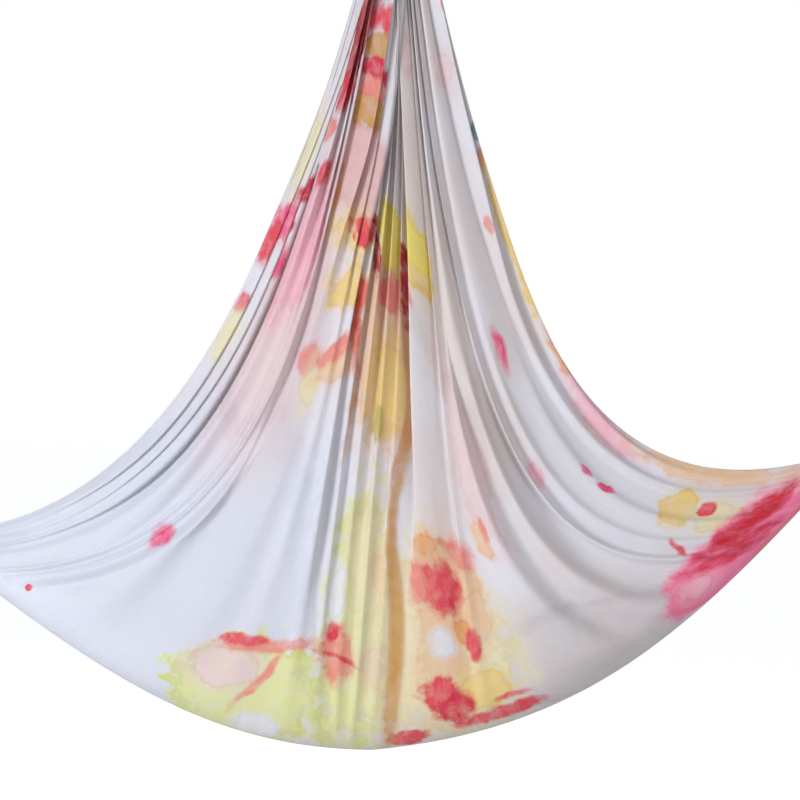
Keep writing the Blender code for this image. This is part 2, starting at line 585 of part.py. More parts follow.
def choker(name, shift, finish, parent):
    """Webbing loop: over the basket, down one leg, one and a half turns round the gathered neck, and
    up the other leg, which crosses over the first turn."""
    half = WEBBING_THICKNESS / 2
    inner_bow = BOW_RADIUS - ROD_RADIUS
    edge_rise = inner_bow - math.sqrt(inner_bow**2 - (WEBBING_WIDTH / 2) ** 2)
    arch_radius = ROD_RADIUS + SEAT_GAP + edge_rise + half
    over = arc((shift, -BASKET_BELOW_BAR), arch_radius, 0, 180, 8)
    path = [(x, 0, z) for x, z in over]
    outward = [(x - shift, 0, z + BASKET_BELOW_BAR) for x, z in over]

    wrap_radius = NECK_RADIUS + SEAT_GAP + half
    knot_side = KNOT_RADIUS + SEAT_GAP + half
    lifted = wrap_radius + WEBBING_THICKNESS + WRAP_CROSSING_GAP
    length = 3 * math.pi * wrap_radius
    slope = WRAP_PITCH / (2 * math.pi * wrap_radius)
    tilt = math.atan(slope)
    beside_knot = KNOT_HALF_HEIGHT / 2
    drops = (BASKET_BELOW_BAR, KNOT_CENTRE - beside_knot, KNOT_CENTRE + beside_knot, WRAP_TOP)
    leg_drops = np.linspace(BASKET_BELOW_BAR, WRAP_TOP, LEG_STEPS + 2)[1:-1]
    left_leg = through(drops, (arch_radius - shift, knot_side, knot_side, wrap_radius), leg_drops)
    right_leg = through(drops, (arch_radius + shift, knot_side, knot_side, lifted), leg_drops)
    path += [(-x, 0, -drop) for x, drop in zip(left_leg, leg_drops)]
    outward += [(-1, 0, 0)] * LEG_STEPS

    down = np.linspace(0, math.pi / 2 - tilt, 6)
    places = [(WRAP_TURN_RADIUS * (1 - math.cos(a)), -WRAP_TURN_RADIUS * math.sin(a)) for a in down]
    start_a, start_z = places[-1]
    up_angles = np.linspace(-tilt, math.pi / 2, 7)
    up_run = WRAP_TURN_RADIUS * (1 + math.sin(tilt))
    straight = length - start_a - up_run
    for k in range(1, WRAP_STEPS + 1):
        run = straight * k / WRAP_STEPS
        places.append((start_a + run, start_z - slope * run))
    turn_a, turn_z = places[-1]
    for a in up_angles[1:]:
        along = WRAP_TURN_RADIUS * (math.sin(a) + math.sin(tilt))
        rise = WRAP_TURN_RADIUS * (math.cos(tilt) - math.cos(a))
        places.append((turn_a + along, turn_z + rise))
    lift_end = length - up_run
    lift_start = lift_end - 2 * WEBBING_WIDTH
    for run, drop in places:
        angle = math.pi + run / wrap_radius
        share = min(max((run - lift_start) / (lift_end - lift_start), 0), 1)
        radius = wrap_radius + (lifted - wrap_radius) * (3 - 2 * share) * share**2
        path.append((radius * math.cos(angle), radius * math.sin(angle), -WRAP_TOP + drop))
        outward.append((math.cos(angle), math.sin(angle), 0))
    path += [(x, 0, -drop) for x, drop in zip(right_leg[::-1], leg_drops[::-1])]
    outward += [(1, 0, 0)] * LEG_STEPS
    strip = np.array(
        [
            (half, -WEBBING_WIDTH / 2),
            (half, WEBBING_WIDTH / 2),
            (-half, WEBBING_WIDTH / 2),
            (-half, -WEBBING_WIDTH / 2),
        ]
    )
    add_object(name, sweep(name, path, outward, strip, closed=True), finish, parent)


def gathered_end(name, finish, parent):
    """The cloth's end, bunched into flutes: tail, stopper knot, and the neck inside the choker."""
    knot_top, knot_foot = KNOT_CENTRE - KNOT_HALF_HEIGHT, KNOT_CENTRE + KNOT_HALF_HEIGHT
    tail = knot_top - TAIL_TOP
    flare_top = NECK_END - NECK_RADIUS / 2
    neck = [(NECK_END_RADIUS, NECK_END), (NECK_RADIUS, flare_top), (NECK_RADIUS, knot_foot)]
    knot = [
        (KNOT_RADIUS * across, KNOT_CENTRE + KNOT_HALF_HEIGHT * along)
        for across, along in zip(KNOT_RADIUS_SHARES, KNOT_HEIGHT_SHARES)
    ]
    waist = knot_top - tail * TAIL_WAIST_SHARE
    profile = neck + knot + [(TAIL_RADIUS, knot_top), (TAIL_RADIUS, waist), (TAIL_RADIUS, TAIL_TOP)]

    def flutes(index, angles):
        """Flutes along the neck and the tail, shallower and twisted on the knot."""
        radius = profile[index][0]
        on_knot = len(neck) <= index < len(neck) + len(knot)
        share = KNOT_FLUTE_SHARE if on_knot else FLUTE_DEPTH_SHARE
        twist = math.radians(KNOT_TWIST_DEGREES) * index if on_knot else 0
        return -radius * share * (0.5 - 0.5 * np.cos(FLUTE_COUNT * (angles + twist)))

    turned_profile = [(radius, -drop) for radius, drop in profile]
    add_object(name, turned(name, turned_profile, GATHER_SIDES, ripple=flutes), finish, parent)


def through(places, values, at):
    """Smooth curve through values at the given places, by cubic pieces that never overshoot a value."""
    places, values = np.asarray(places, float), np.asarray(values, float)
    steps = np.diff(values) / np.diff(places)
    before, after = steps[:-1], steps[1:]
    level = before * after <= 0
    shared = np.where(level, 0, 2 * before * after / np.where(level, 1, before + after))
    slopes = np.concatenate([steps[:1], shared, steps[-1:]])
    i = np.clip(np.searchsorted(places, at, side="right") - 1, 0, len(places) - 2)
    width = places[i + 1] - places[i]
    t = (at - places[i]) / width
    return (
        (2 * t**3 - 3 * t**2 + 1) * values[i]
        + (t**3 - 2 * t**2 + t) * width * slopes[i]
        + (3 * t**2 - 2 * t**3) * values[i + 1]
        + (t**3 - t**2) * width * slopes[i + 1]
    )


def bezier(p0, p1, p2, p3, t):
    return (1 - t) ** 3 * p0 + 3 * (1 - t) ** 2 * t * p1 + 3 * (1 - t) * t**2 * p2 + t**3 * p3


def balanced(x_shares, z_shares):
    """Sideways place and drop below the neck, with the whole cloth turned so that it hangs in balance."""
    x, drop = x_shares * SLING_SPREAD, z_shares * SLING_DROP
    turn = math.radians(BALANCE_TURN_DEGREES)
    return x * math.cos(turn) + drop * math.sin(turn), drop * math.cos(turn) - x * math.sin(turn)


def sling_surface(w, s, side):
    """Points of the cloth's middle surface: w runs from the left selvedge (-1) to the right (1), s from
    the neck (0) down a fold line to the bottom fold (1), and side is -1 in front and 1 behind."""
    bottom = through(FOLD_LINE_SHARES, BOTTOM_PLACE_SHARES, w)
    left_t, right_t = np.clip(1 + bottom, 0, 1), np.clip(bottom, 0, 1)
    left_x, left_z = bezier(*BOTTOM_LEFT_X_SHARES, left_t), bezier(*BOTTOM_LEFT_Z_SHARES, left_t)
    right_x, right_z = bezier(*BOTTOM_RIGHT_X_SHARES, right_t), bezier(*BOTTOM_RIGHT_Z_SHARES, right_t)
    upper_x, upper_drop = balanced(
        through(FOLD_LINE_SHARES, UPPER_GUIDE_X_SHARES, w),
        through(FOLD_LINE_SHARES, UPPER_GUIDE_Z_SHARES, w),
    )
    lower_x, lower_drop = balanced(
        through(FOLD_LINE_SHARES, LOWER_GUIDE_X_SHARES, w),
        through(FOLD_LINE_SHARES, LOWER_GUIDE_Z_SHARES, w),
    )
    end_x, end_drop = balanced(np.where(bottom < 0, left_x, right_x), np.where(bottom < 0, left_z, right_z))
    x = bezier(w * NECK_END_RADIUS, upper_x, lower_x, end_x, s)
    drop = bezier(0, upper_drop, lower_drop, end_drop, s)
    depth_shares = (2 * NECK_Y / SLING_DEPTH,) + DEPTH_SHARES
    depth = through(DEPTH_PLACE_SHARES, depth_shares, np.minimum(s, BOTTOM_ROUND_SHARE)) * SLING_DEPTH / 2
    edge = np.abs(w) * (1 - s**2) + np.abs(bottom) * s**2
    closing = 1 - TIP_CLOSING_SHARE * s**TIP_CLOSING_POWER * edge**3
    past = np.clip((s - BOTTOM_ROUND_SHARE) / (1 - BOTTOM_ROUND_SHARE), 0, 1)
    rounding = np.sqrt(1 - past**2)
    fold = FOLD_DEPTH * np.sin(math.pi * s**FOLD_RISE_POWER) * (1 - FOLD_EDGE_SHARE * edge**2)
    fold = fold + NECK_FOLD_DEPTH * (1 - s) ** NECK_FOLD_POWER
    wave = np.cos(math.pi * FOLD_COUNT * (w + 1))
    outward = (depth * closing + fold * wave) * rounding
    drop = drop - math.tan(LEAN) * (outward - NECK_Y) * (1 - s) ** NECK_TILT_POWER
    return np.stack([x, side * outward, NECK_Z - drop], axis=-1)


def sling_cloth(name, finish):
    """One closed thin shell: front panel, rounded bottom fold and rear panel, with the main folds."""
    columns = FOLD_COUNT * COLUMNS_PER_FOLD
    w = np.linspace(-1, 1, columns + 1)
    rows = np.linspace(0, 1, PANEL_ROWS)
    flat_s = rows * (1 + ROW_CROWDING_SHARE * (1 - rows)) * BOTTOM_ROUND_SHARE
    round_turns = np.arange(1, ROUNDING_STEPS) * math.pi / 2 / ROUNDING_STEPS
    round_s = BOTTOM_ROUND_SHARE + (1 - BOTTOM_ROUND_SHARE) * np.sin(round_turns)
    s = np.concatenate([flat_s, round_s])
    front_s, front_w = np.meshgrid(s, w, indexing="ij")
    front = sling_surface(front_w, front_s, -1)
    lowest = sling_surface(w, np.ones(columns + 1), -1)[None]
    rear = sling_surface(front_w, front_s, 1)[::-1]
    outer = np.concatenate([front, lowest, rear])
    going = np.concatenate([0 * flat_s, round_turns]) - LEAN * (1 - s) ** NECK_TILT_POWER
    turn = np.concatenate([going, [math.pi / 2], math.pi - going[::-1]])
    inward = np.stack([0 * turn, np.cos(turn), np.sin(turn)], axis=1)[:, None]
    inner = outer + CLOTH_THICKNESS * inward
    add_object(name, loft_strip(name, outer, inner), finish)


def loft_strip(name, outer, inner):
    """Closed shell between two equal grids of points."""
    count, across = outer.shape[:2]
    work = bmesh.new()
    skin = [[[work.verts.new(p) for p in row] for row in grid] for grid in (outer, inner)]
    for i in range(count - 1):
        for j in range(across - 1):
            for grid in skin:
                work.faces.new((grid[i][j], grid[i][j + 1], grid[i + 1][j + 1], grid[i + 1][j]))
        for j in (0, across - 1):
            work.faces.new((skin[0][i][j], skin[0][i + 1][j], skin[1][i + 1][j], skin[1][i][j]))
    for i in (0, count - 1):
        for j in range(across - 1):
            work.faces.new((skin[0][i][j], skin[0][i][j + 1], skin[1][i][j + 1], skin[1][i][j]))
    bmesh.ops.recalc_face_normals(work, faces=work.faces)
    mesh = bpy.data.meshes.new(name)
    work.to_mesh(mesh)
    work.free()
    return mesh


# Finishes: colour, metallic, roughness
STEEL = ((0.62, 0.63, 0.65), 1.0, 0.28)
ALUMINIUM = ((0.70, 0.71, 0.73), 1.0, 0.35)
BRASS = ((0.72, 0.55, 0.28), 1.0, 0.35)
RUBBER = ((0.03, 0.03, 0.03), 0.0, 0.7)
WEBBING = ((0.05, 0.05, 0.06), 0.0, 0.8)
CLOTH = ((0.86, 0.85, 0.88), 0.0, 0.6)

for old in list(bpy.data.objects):
    bpy.data.objects.remove(old, do_unlink=True)

carabiner("top", add_empty("top_carabiner", (0, 0, TOP_CENTRE)))
swivel_body(ALUMINIUM)
shaft_end = bearing(STEEL, BRASS, STEEL)
lower_eye(shaft_end, ALUMINIUM)
dust_seal(RUBBER)
for limb_name, half_turn in (("front", math.pi), ("rear", 0)):
    limb = add_empty(limb_name + "_limb", (0, 0, BAR_Z), (LEAN, 0, half_turn))
    hung = add_empty(limb_name + "_carabiner", (CARABINER_OFFSET, 0, -CARABINER_BELOW_BAR), parent=limb)
    carabiner(limb_name, hung)
    choker(limb_name + "_choker", CARABINER_OFFSET, WEBBING, limb)
    gathered_end("gathered_end_" + limb_name, CLOTH, limb)
sling_cloth("sling_cloth", CLOTH)
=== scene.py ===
"""Looks of the aerial hammock: a printed stretch-nylon sling, webbing chokers, carabiners and swivel."""
import math

import bpy
import numpy as np
from mathutils import Matrix, Vector


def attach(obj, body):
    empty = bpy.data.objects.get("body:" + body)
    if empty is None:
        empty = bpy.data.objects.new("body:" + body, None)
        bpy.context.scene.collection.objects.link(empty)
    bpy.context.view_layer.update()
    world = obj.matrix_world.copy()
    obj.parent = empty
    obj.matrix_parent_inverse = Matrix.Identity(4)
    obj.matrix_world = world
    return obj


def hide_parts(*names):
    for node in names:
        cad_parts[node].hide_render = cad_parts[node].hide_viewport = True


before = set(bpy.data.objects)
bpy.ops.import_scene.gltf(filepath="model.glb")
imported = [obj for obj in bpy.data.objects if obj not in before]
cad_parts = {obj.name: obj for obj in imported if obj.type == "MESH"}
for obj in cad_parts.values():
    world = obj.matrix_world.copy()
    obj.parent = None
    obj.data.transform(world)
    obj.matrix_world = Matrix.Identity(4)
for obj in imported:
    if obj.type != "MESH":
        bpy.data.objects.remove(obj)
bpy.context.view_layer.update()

# Studio: a pale floor under the hanging hammock, an even white surround, a large soft lamp at the left
# front, and weaker ones at the right front and behind. The camera stands level with the cloth's middle
# and is rolled by the angle at which the cloth hangs.
CAMERA_DISTANCE = 6.0
HALF_VIEW = 1.044
SENSOR_WIDTH = 36.0
HANG_TURN = math.radians(1.53)
VIEW_CENTRE = (0.0347, -1.7796)
FLOOR_Z = -3.30
FLOOR_REACH = 30
FLOOR_BACK = 60
FLOOR_GLOW = 0.60

camera = bpy.data.objects.new("camera", bpy.data.cameras.new("camera"))
bpy.context.collection.objects.link(camera)
camera.data.sensor_width = SENSOR_WIDTH
camera.data.lens = SENSOR_WIDTH / 2 * CAMERA_DISTANCE / HALF_VIEW
camera.data.clip_end = 200.0
turn_cos, turn_sin = math.cos(HANG_TURN), math.sin(HANG_TURN)
camera.matrix_world = Matrix(
    (
        (turn_cos, -turn_sin, 0, VIEW_CENTRE[0]),
        (0, 0, -1, -CAMERA_DISTANCE),
        (turn_sin, turn_cos, 0, VIEW_CENTRE[1]),
        (0, 0, 0, 1),
    )
)
bpy.context.scene.camera = camera
bpy.context.scene.view_settings.view_transform = "Standard"


def area_lamp(name, place, aim, size, power, colour):
    """A square lamp at a place, turned so that it shines at the aim."""
    lamp = bpy.data.lights.new(name, "AREA")
    lamp.shape = "SQUARE"
    lamp.size = size
    lamp.energy = power
    lamp.color = colour
    holder = bpy.data.objects.new(name, lamp)
    bpy.context.collection.objects.link(holder)
    holder.location = place
    holder.rotation_euler = (Vector(place) - Vector(aim)).to_track_quat("Z", "Y").to_euler()


area_lamp("key_lamp", (-4.7, -4.2, -1.9), (0, 0, -1.7), 2.0, 285, (0.97, 0.985, 1.0))
area_lamp("fill_lamp", (3.4, -4.8, -0.6), (0, 0, -1.8), 2.6, 90, (1.0, 0.965, 0.94))
area_lamp("back_lamp", (1.5, 4.5, 0.4), (0, 0, -1.6), 2.4, 60, (1.0, 0.98, 0.95))


def feed(tree, socket, value):
    """Link an output socket to an input, or write a plain value into the input."""
    if isinstance(value, bpy.types.NodeSocket):
        tree.links.new(value, socket)
    else:
        socket.default_value = value


def node(tree, kind, **inputs):
    """New node with some of its inputs fed, each given by its name, or by its number as i0, i1 or i2."""
    made = tree.nodes.new(kind)
    for name, value in inputs.items():
        numbered = name[0] == "i" and name[1:].isdigit()
        feed(tree, made.inputs[int(name[1:]) if numbered else name.replace("_", " ")], value)
    return made


def maths(tree, operation, *values, vector=False):
    """Output of a Math node, or of a Vector Math node."""
    made = tree.nodes.new("ShaderNodeVectorMath" if vector else "ShaderNodeMath")
    made.operation = operation
    for socket, value in zip(made.inputs, values):
        feed(tree, socket, value)
    return made.outputs[1 if operation == "LENGTH" else 0]


def new_look(name, **inputs):
    """New material with its node tree and its main shader, some of whose inputs are set by name."""
    look = bpy.data.materials.new(name)
    look.use_nodes = True
    shader = look.node_tree.nodes["Principled BSDF"]
    for label, value in inputs.items():
        shader.inputs[label.replace("_", " ")].default_value = value
    return look, look.node_tree, shader


def place_piece(name, mesh, look):
    """Put a finished mesh into the scene with its material."""
    piece = bpy.data.objects.new(name, mesh)
    bpy.context.collection.objects.link(piece)
    mesh.materials.append(look)
    return piece


world = bpy.data.worlds.new("surround")
bpy.context.scene.world = world
world.use_nodes = True
sky = world.node_tree
sky.nodes.clear()
sky_path = node(sky, "ShaderNodeLightPath").outputs
sky_in_view = maths(sky, "MAXIMUM", sky_path["Is Camera Ray"], sky_path["Is Glossy Ray"])
sky_lit = node(sky, "ShaderNodeBackground", Color=(0.95, 0.97, 1.0, 1), Strength=0.40).outputs[0]
sky_seen = node(sky, "ShaderNodeBackground", Color=(1, 1, 1, 1)).outputs[0]
sky_mix = node(sky, "ShaderNodeMixShader", i0=sky_in_view, i1=sky_lit, i2=sky_seen)
node(sky, "ShaderNodeOutputWorld", Surface=sky_mix.outputs[0])

floor_mesh = bpy.data.meshes.new("floor")
floor_corners = [(-FLOOR_REACH, -FLOOR_REACH), (FLOOR_REACH, -FLOOR_REACH)]
floor_corners += [(FLOOR_REACH, FLOOR_BACK), (-FLOOR_REACH, FLOOR_BACK)]
floor_mesh.from_pydata([(x, y, FLOOR_Z) for x, y in floor_corners], [], [(0, 1, 2, 3)])
floor_look, tree, shader = new_look(
    "pale_floor", Base_Color=(0.86, 0.86, 0.86, 1), Roughness=0.9, Emission_Color=(1, 1, 1, 1)
)
seen = node(tree, "ShaderNodeLightPath").outputs["Is Camera Ray"]
feed(tree, shader.inputs["Emission Strength"], maths(tree, "MULTIPLY", seen, FLOOR_GLOW))
floor = place_piece("floor", floor_mesh, floor_look)


# Sling cloth: one strip of knitted stretch nylon, 2.8 m wide. It is bunched at both ends, opens into
# pleats, and spreads into a smooth rounded belly between its front and rear panels.
CLOTH_WIDTH = 2.8
CLOTH_LENGTH = 4.54
BAR_Z = -0.1959
LEAN = math.radians(12.0)
NECK_DROP = 0.2983
NECK_Y = NECK_DROP * math.sin(LEAN)
NECK_Z = BAR_Z - NECK_DROP * math.cos(LEAN)
NECK_RADIUS = 0.0235
SPREAD = 2.445
DROP = 2.205
HALF_DEPTH = 0.150
PLEATS = 26
PLEAT_COLUMNS = 12
PANEL_ROWS = 96
FALL_ROWS = 0.84
FALL_END = 0.93
NECK_SWING = 0.0028
LOW_SWING = 0.0030
PLEAT_LAP = 2.1
NECK_LAP = 0.5
MIDDLE_RECESS = 0.015
REAR_RIDGES = 0.6


def through(places, values, at):
    """Smooth curve through values at the given places, by cubic pieces that never overshoot a value."""
    places, values = np.asarray(places, float), np.asarray(values, float)
    steps = np.diff(values) / np.diff(places)
    before, after = steps[:-1], steps[1:]
    level = before * after <= 0
    shared = np.where(level, 0, 2 * before * after / np.where(level, 1, before + after))
    slopes = np.concatenate([steps[:1], shared, steps[-1:]])
    i = np.clip(np.searchsorted(places, at, side="right") - 1, 0, len(places) - 2)
    width = places[i + 1] - places[i]
    t = (at - places[i]) / width
    return (
        (2 * t**3 - 3 * t**2 + 1) * values[i]
        + (t**3 - 2 * t**2 + t) * width * slopes[i]
        + (3 * t**2 - 2 * t**3) * values[i + 1]
        + (t**3 - t**2) * width * slopes[i + 1]
    )


def bezier(p0, p1, p2, p3, t):
    """Cubic Bezier curve."""
    return (1 - t) ** 3 * p0 + 3 * (1 - t) ** 2 * t * p1 + 3 * (1 - t) * t**2 * p2 + t**3 * p3


def ease(value, start, end):
    """0 before start, 1 after end, and a smooth step between them."""
    t = np.clip((value - start) / (end - start), 0, 1)
    return t * t * (3 - 2 * t)


def span(value, start, full, fading, end):
    """0 before start and after end, 1 from full to fading, and a smooth step on both sides."""
    return ease(value, start, full) * (1 - ease(value, fading, end))


def fold_line(w, s):
    """Sideways place and drop of the cloth's own lines. w is -1 at the left selvedge and 1 at the right;
    s is 0 at the neck and 1 at the bottom fold. Each line is a Bezier curve from the neck to the fold."""
    lines = (-1.0, -0.5, -0.25, 0.0, 0.25, 0.5, 1.0)
    bottom = through(lines, (-1.0, -0.86, -0.15, 0.0, 0.22, 0.86, 1.0), w)
    left_t, right_t = np.clip(1 + bottom, 0, 1), np.clip(bottom, 0, 1)
    left_x = bezier(-0.512, -0.310, -0.200, -0.030, left_t)
    right_x = bezier(-0.030, 0.194, 0.310, 0.488, right_t)
    left_z = bezier(0.745, 0.920, 0.998, 1.0, left_t)
    right_z = bezier(1.0, 0.977, 0.864, 0.642, right_t)
    upper_x = through(lines, (-0.115, -0.068, -0.010, 0.018, 0.030, 0.052, 0.108), w)
    upper_z = through(lines, (0.290, 0.230, 0.325, 0.325, 0.370, 0.330, 0.285), w)
    lower_x = through(lines, (-0.182, -0.035, -0.086, 0.001, 0.045, 0.050, 0.120), w)
    lower_z = through(lines, (0.736, 0.835, 0.665, 0.670, 0.700, 0.940, 0.791), w)
    x = bezier(w * NECK_RADIUS / SPREAD, upper_x, lower_x, np.where(bottom < 0, left_x, right_x), s) * SPREAD
    x = x * (0.92 + 0.08 * np.maximum(ease(s, 0.15, 0.40), 1 - ease(s, 0.0, 0.10)))
    drop = bezier(0, upper_z, lower_z, np.where(bottom < 0, left_z, right_z), s) * DROP
    return x, drop, bottom


def pleat_count(w, side):
    """Pleats counted from the left selvedge, whole numbers at the places where one laps the next. The
    front has broad panels between groups of narrow pleats; the rear hangs in even ones."""
    if side > 0:
        return (w + 1) / 2 * PLEATS
    laps = (-1.0, -0.93, -0.88, -0.83, -0.69, -0.63, -0.58, -0.37, -0.31, -0.25, -0.18, -0.11, -0.04)
    laps += (0.04, 0.21, 0.27, 0.46, 0.53, 0.82, 0.91, 1.0)
    return through(laps, np.arange(len(laps)), w)


def belly_ridges(w, s):
    """Long soft ridges of the belly. Each runs from one fold line to another and is steeper on its lower
    side, as cloth that is drawn towards a tip lies. It is a bell curve across the fold lines, given by
    its first and last line, where down the panel it starts, its height, and its left and right width."""
    ridges = (
        (-0.78, -0.66, 0.55, 0.010, 0.050, 0.030),
        (-0.64, -0.45, 0.35, 0.022, 0.080, 0.024),
        (-0.50, -0.54, 0.55, 0.010, 0.050, 0.022),
        (-0.40, -0.38, 0.55, 0.010, 0.050, 0.020),
        (-0.27, -0.24, 0.55, 0.012, 0.050, 0.014),
        (0.15, 0.19, 0.60, 0.008, 0.040, 0.030),
        (0.29, 0.36, 0.44, 0.046, 0.070, 0.014),
        (0.39, 0.41, 0.44, 0.042, 0.026, 0.014),
        (0.49, 0.51, 0.40, 0.014, 0.020, 0.016),
        (0.62, 0.60, 0.40, 0.014, 0.060, 0.024),
        (0.78, 0.70, 0.45, 0.012, 0.050, 0.020),
    )
    rise = np.zeros_like(w)
    for start_w, end_w, start_s, height, left_width, right_width in ridges:
        line = start_w + (end_w - start_w) * ease(s, start_s, 1.0)
        width = np.where(w < line, left_width, right_width)
        rise += height * np.exp(-(((w - line) / width) ** 2)) * ease(s, start_s, start_s + 0.2)
    return rise * (1 - 0.7 * ease(s, 0.91, 1.0))


def cloth_panel(side):
    """Front (side -1) or rear (side 1) panel as a grid of points. The panel is offset from the fold
    lines by pleats: a wave across the cloth, sheared sideways so that each crest laps its neighbour."""
    lasting_share, left_calm, right_calm, pleat_swing = (
        (0.05, 0.70, 0.40, 0.0205) if side < 0 else (0.20, 0.30, 0.20, 0.0265)
    )
    t = np.linspace(0, 1, PANEL_ROWS + 1)
    past_line = np.clip((t - FALL_ROWS) / (1 - FALL_ROWS), 0, 1)
    turning = FALL_END + (1 - FALL_END) * np.sin(past_line * math.pi / 2)
    s_line = np.where(t < FALL_ROWS, t / FALL_ROWS * FALL_END, turning)
    s, w = np.meshgrid(s_line, np.linspace(-1, 1, PLEATS * PLEAT_COLUMNS + 1), indexing="ij")
    past = past_line[:, None]
    x, drop, bottom = fold_line(w, s)
    edge = np.abs(w) * (1 - s**2) + np.abs(bottom) * s**2
    depth_shares = (NECK_Y / HALF_DEPTH, 0.66, 0.93, 0.86, 0.75)
    depth = through((0.0, 0.2, 0.45, 0.7, FALL_END), depth_shares, np.minimum(s, FALL_END)) * HALF_DEPTH
    depth = depth * (1 - 0.88 * s**0.6 * edge**3)

    tangent_x, tangent_z = np.gradient(x, axis=0), np.gradient(drop, axis=0)
    tangent_x[0], tangent_z[0] = tangent_x[1], tangent_z[1]
    tangent_x[-1], tangent_z[-1] = tangent_x[-2], tangent_z[-2]
    length = np.hypot(tangent_x, tangent_z) + 1e-9
    across_x, across_z = tangent_z / length, -tangent_x / length

    count = pleat_count(w, side)
    between = count + 0.5
    phase = 2 * math.pi * between
    wave = np.cos(phase) + 0.18 * np.cos(2 * phase + 0.6)
    room = np.gradient(w, axis=1) / np.gradient(count, axis=1)
    uneven = 0.85 + 0.20 * np.sin(2.4 * between + side) + 0.12 * np.sin(1.3 * between)
    uneven = uneven * np.clip(room / 0.09, 0.6, 1.6) ** 0.5
    rise = ease(s, 0.0, 0.13)
    lasting = lasting_share * np.exp(-(((w + 0.12) / 0.16) ** 2)) + 0.08 * np.sin(2.1 * between + 0.6)
    fade = 1 - 0.92 * ease(s, 0.58 + lasting, 0.92 + lasting)
    left_flank = span(w, -0.84, -0.74, -0.30, -0.24)
    right_flank = span(w, 0.28, 0.40, 0.86, 0.92)
    flanks = left_flank + right_flank
    calm = 1 - (left_calm * left_flank + right_calm * right_flank) * ease(s, 0.30, 0.54)
    if side < 0:
        calm = calm * (1 - 0.48 * span(w, 0.06, 0.14, 0.80, 0.88))
        calm = calm * (1 - 0.50 * span(w, -0.30, -0.24, -0.02, 0.04) * ease(s, 0.40, 0.66))
    hanging = pleat_swing * rise * fade * calm * uneven
    swing = NECK_SWING * (1 - rise) + hanging + LOW_SWING * ease(s, 0.5, 0.8) * (1 - past)
    offset = swing * (0.35 + 0.65 * (1 - np.abs(w) ** 6)) * wave
    billow = belly_ridges(w, s) if side < 0 else REAR_RIDGES * belly_ridges(0.1 - w, s)
    lean_places = (-1, -0.92, -0.86, -0.78, -0.60, -0.53, -0.47, -0.29, -0.20, -0.11, -0.03)
    lean_places += (0.08, 0.18, 0.36, 0.50, 0.72, 0.84, 1.0)
    lean_shares = (0.3, 0.9, 1.0, 0.2, 0.2, 0.9, 0.8, 1.0, 0.4, 0.0, -0.3)
    lean_shares += (-0.9, -0.4, -0.1, -0.3, -0.1, 0.8, 0.5)
    still = ease(s, 0.68, 0.95) * (1 - flanks) + ease(s, 0.26, 0.54) * flanks
    lean = PLEAT_LAP * rise * (1 - still) + NECK_LAP * (1 - rise)
    lean = lean * through(lean_places, lean_shares, w)
    x = x + lean * offset * across_x
    drop = drop + lean * offset * across_z
    recess = MIDDLE_RECESS * span(w, -0.28, -0.20, 0.01, 0.09) * span(s, 0.16, 0.40, 0.62, 0.92)
    outward = (depth + offset - recess + billow) * np.cos(past * math.pi / 2)
    drop = drop - math.tan(LEAN) * (outward - NECK_Y) * (1 - s) ** 8
    turned_x = x * turn_cos + drop * turn_sin
    turned_drop = drop * turn_cos - x * turn_sin
    return np.stack([turned_x, side * outward, NECK_Z - turned_drop], axis=-1)


def grid_mesh(name, points, wrap_around=False, wrap_along=False, caps=False):
    """Mesh over a grid of points (along, around, 3): quads between neighbours, and fans as end caps."""
    along, around = points.shape[:2]
    index = np.arange(along * around).reshape(along, around)
    below = np.roll(index, -1, axis=0) if wrap_along else index[1:]
    here = index if wrap_along else index[:-1]
    if wrap_around:
        quads = np.stack([here, np.roll(here, -1, axis=1), np.roll(below, -1, axis=1), below], axis=-1)
    else:
        quads = np.stack([here[:, :-1], here[:, 1:], below[:, 1:], below[:, :-1]], axis=-1)
    corners = points.reshape(-1, 3)
    faces = quads.reshape(-1, 4).tolist()
    if caps:
        corners = np.concatenate([corners, points[0].mean(axis=0)[None], points[-1].mean(axis=0)[None]])
        first, last = len(corners) - 2, len(corners) - 1
        ring = index[0]
        faces += np.stack([np.roll(ring, -1), ring, np.full(around, first)], axis=1).tolist()
        ring = index[-1]
        faces += np.stack([ring, np.roll(ring, -1), np.full(around, last)], axis=1).tolist()
    mesh = bpy.data.meshes.new(name)
    mesh.from_pydata(corners.tolist(), [], faces)
    mesh.shade_smooth()
    mesh.update()
    return mesh


def lay_uv(mesh, layer, flat):
    """Write the place of each vertex on the flat cloth or strap into a new UV layer."""
    corner_points = np.zeros(len(mesh.loops), dtype=np.int32)
    mesh.loops.foreach_get("vertex_index", corner_points)
    places = flat.reshape(-1, 2)[corner_points].astype(np.float32)
    mesh.uv_layers.new(name=layer).data.foreach_set("uv", places.ravel())


def flat_grid(across, along):
    """Places on the flat cloth or strap for a grid of points."""
    return np.stack(np.broadcast_arrays(across, along), axis=-1)


cloth_points = np.concatenate([cloth_panel(-1), cloth_panel(1)[-2::-1]])
cloth_mesh = grid_mesh("sling", cloth_points[:, ::-1])
steps = np.linalg.norm(np.diff(cloth_points, axis=1), axis=2)
cloth_across = np.concatenate([np.zeros((len(steps), 1)), np.cumsum(steps, axis=1)], axis=1)
cloth_across = cloth_across / cloth_across[:, -1:] * CLOTH_WIDTH
middle = cloth_points[:, cloth_points.shape[1] // 2]
cloth_along = np.concatenate([[0], np.cumsum(np.linalg.norm(np.diff(middle, axis=0), axis=1))])
cloth_along = (cloth_along / cloth_along[-1] * CLOTH_LENGTH)[:, None]
lay_uv(cloth_mesh, "cloth_cut", flat_grid(cloth_across[:, ::-1], cloth_along))


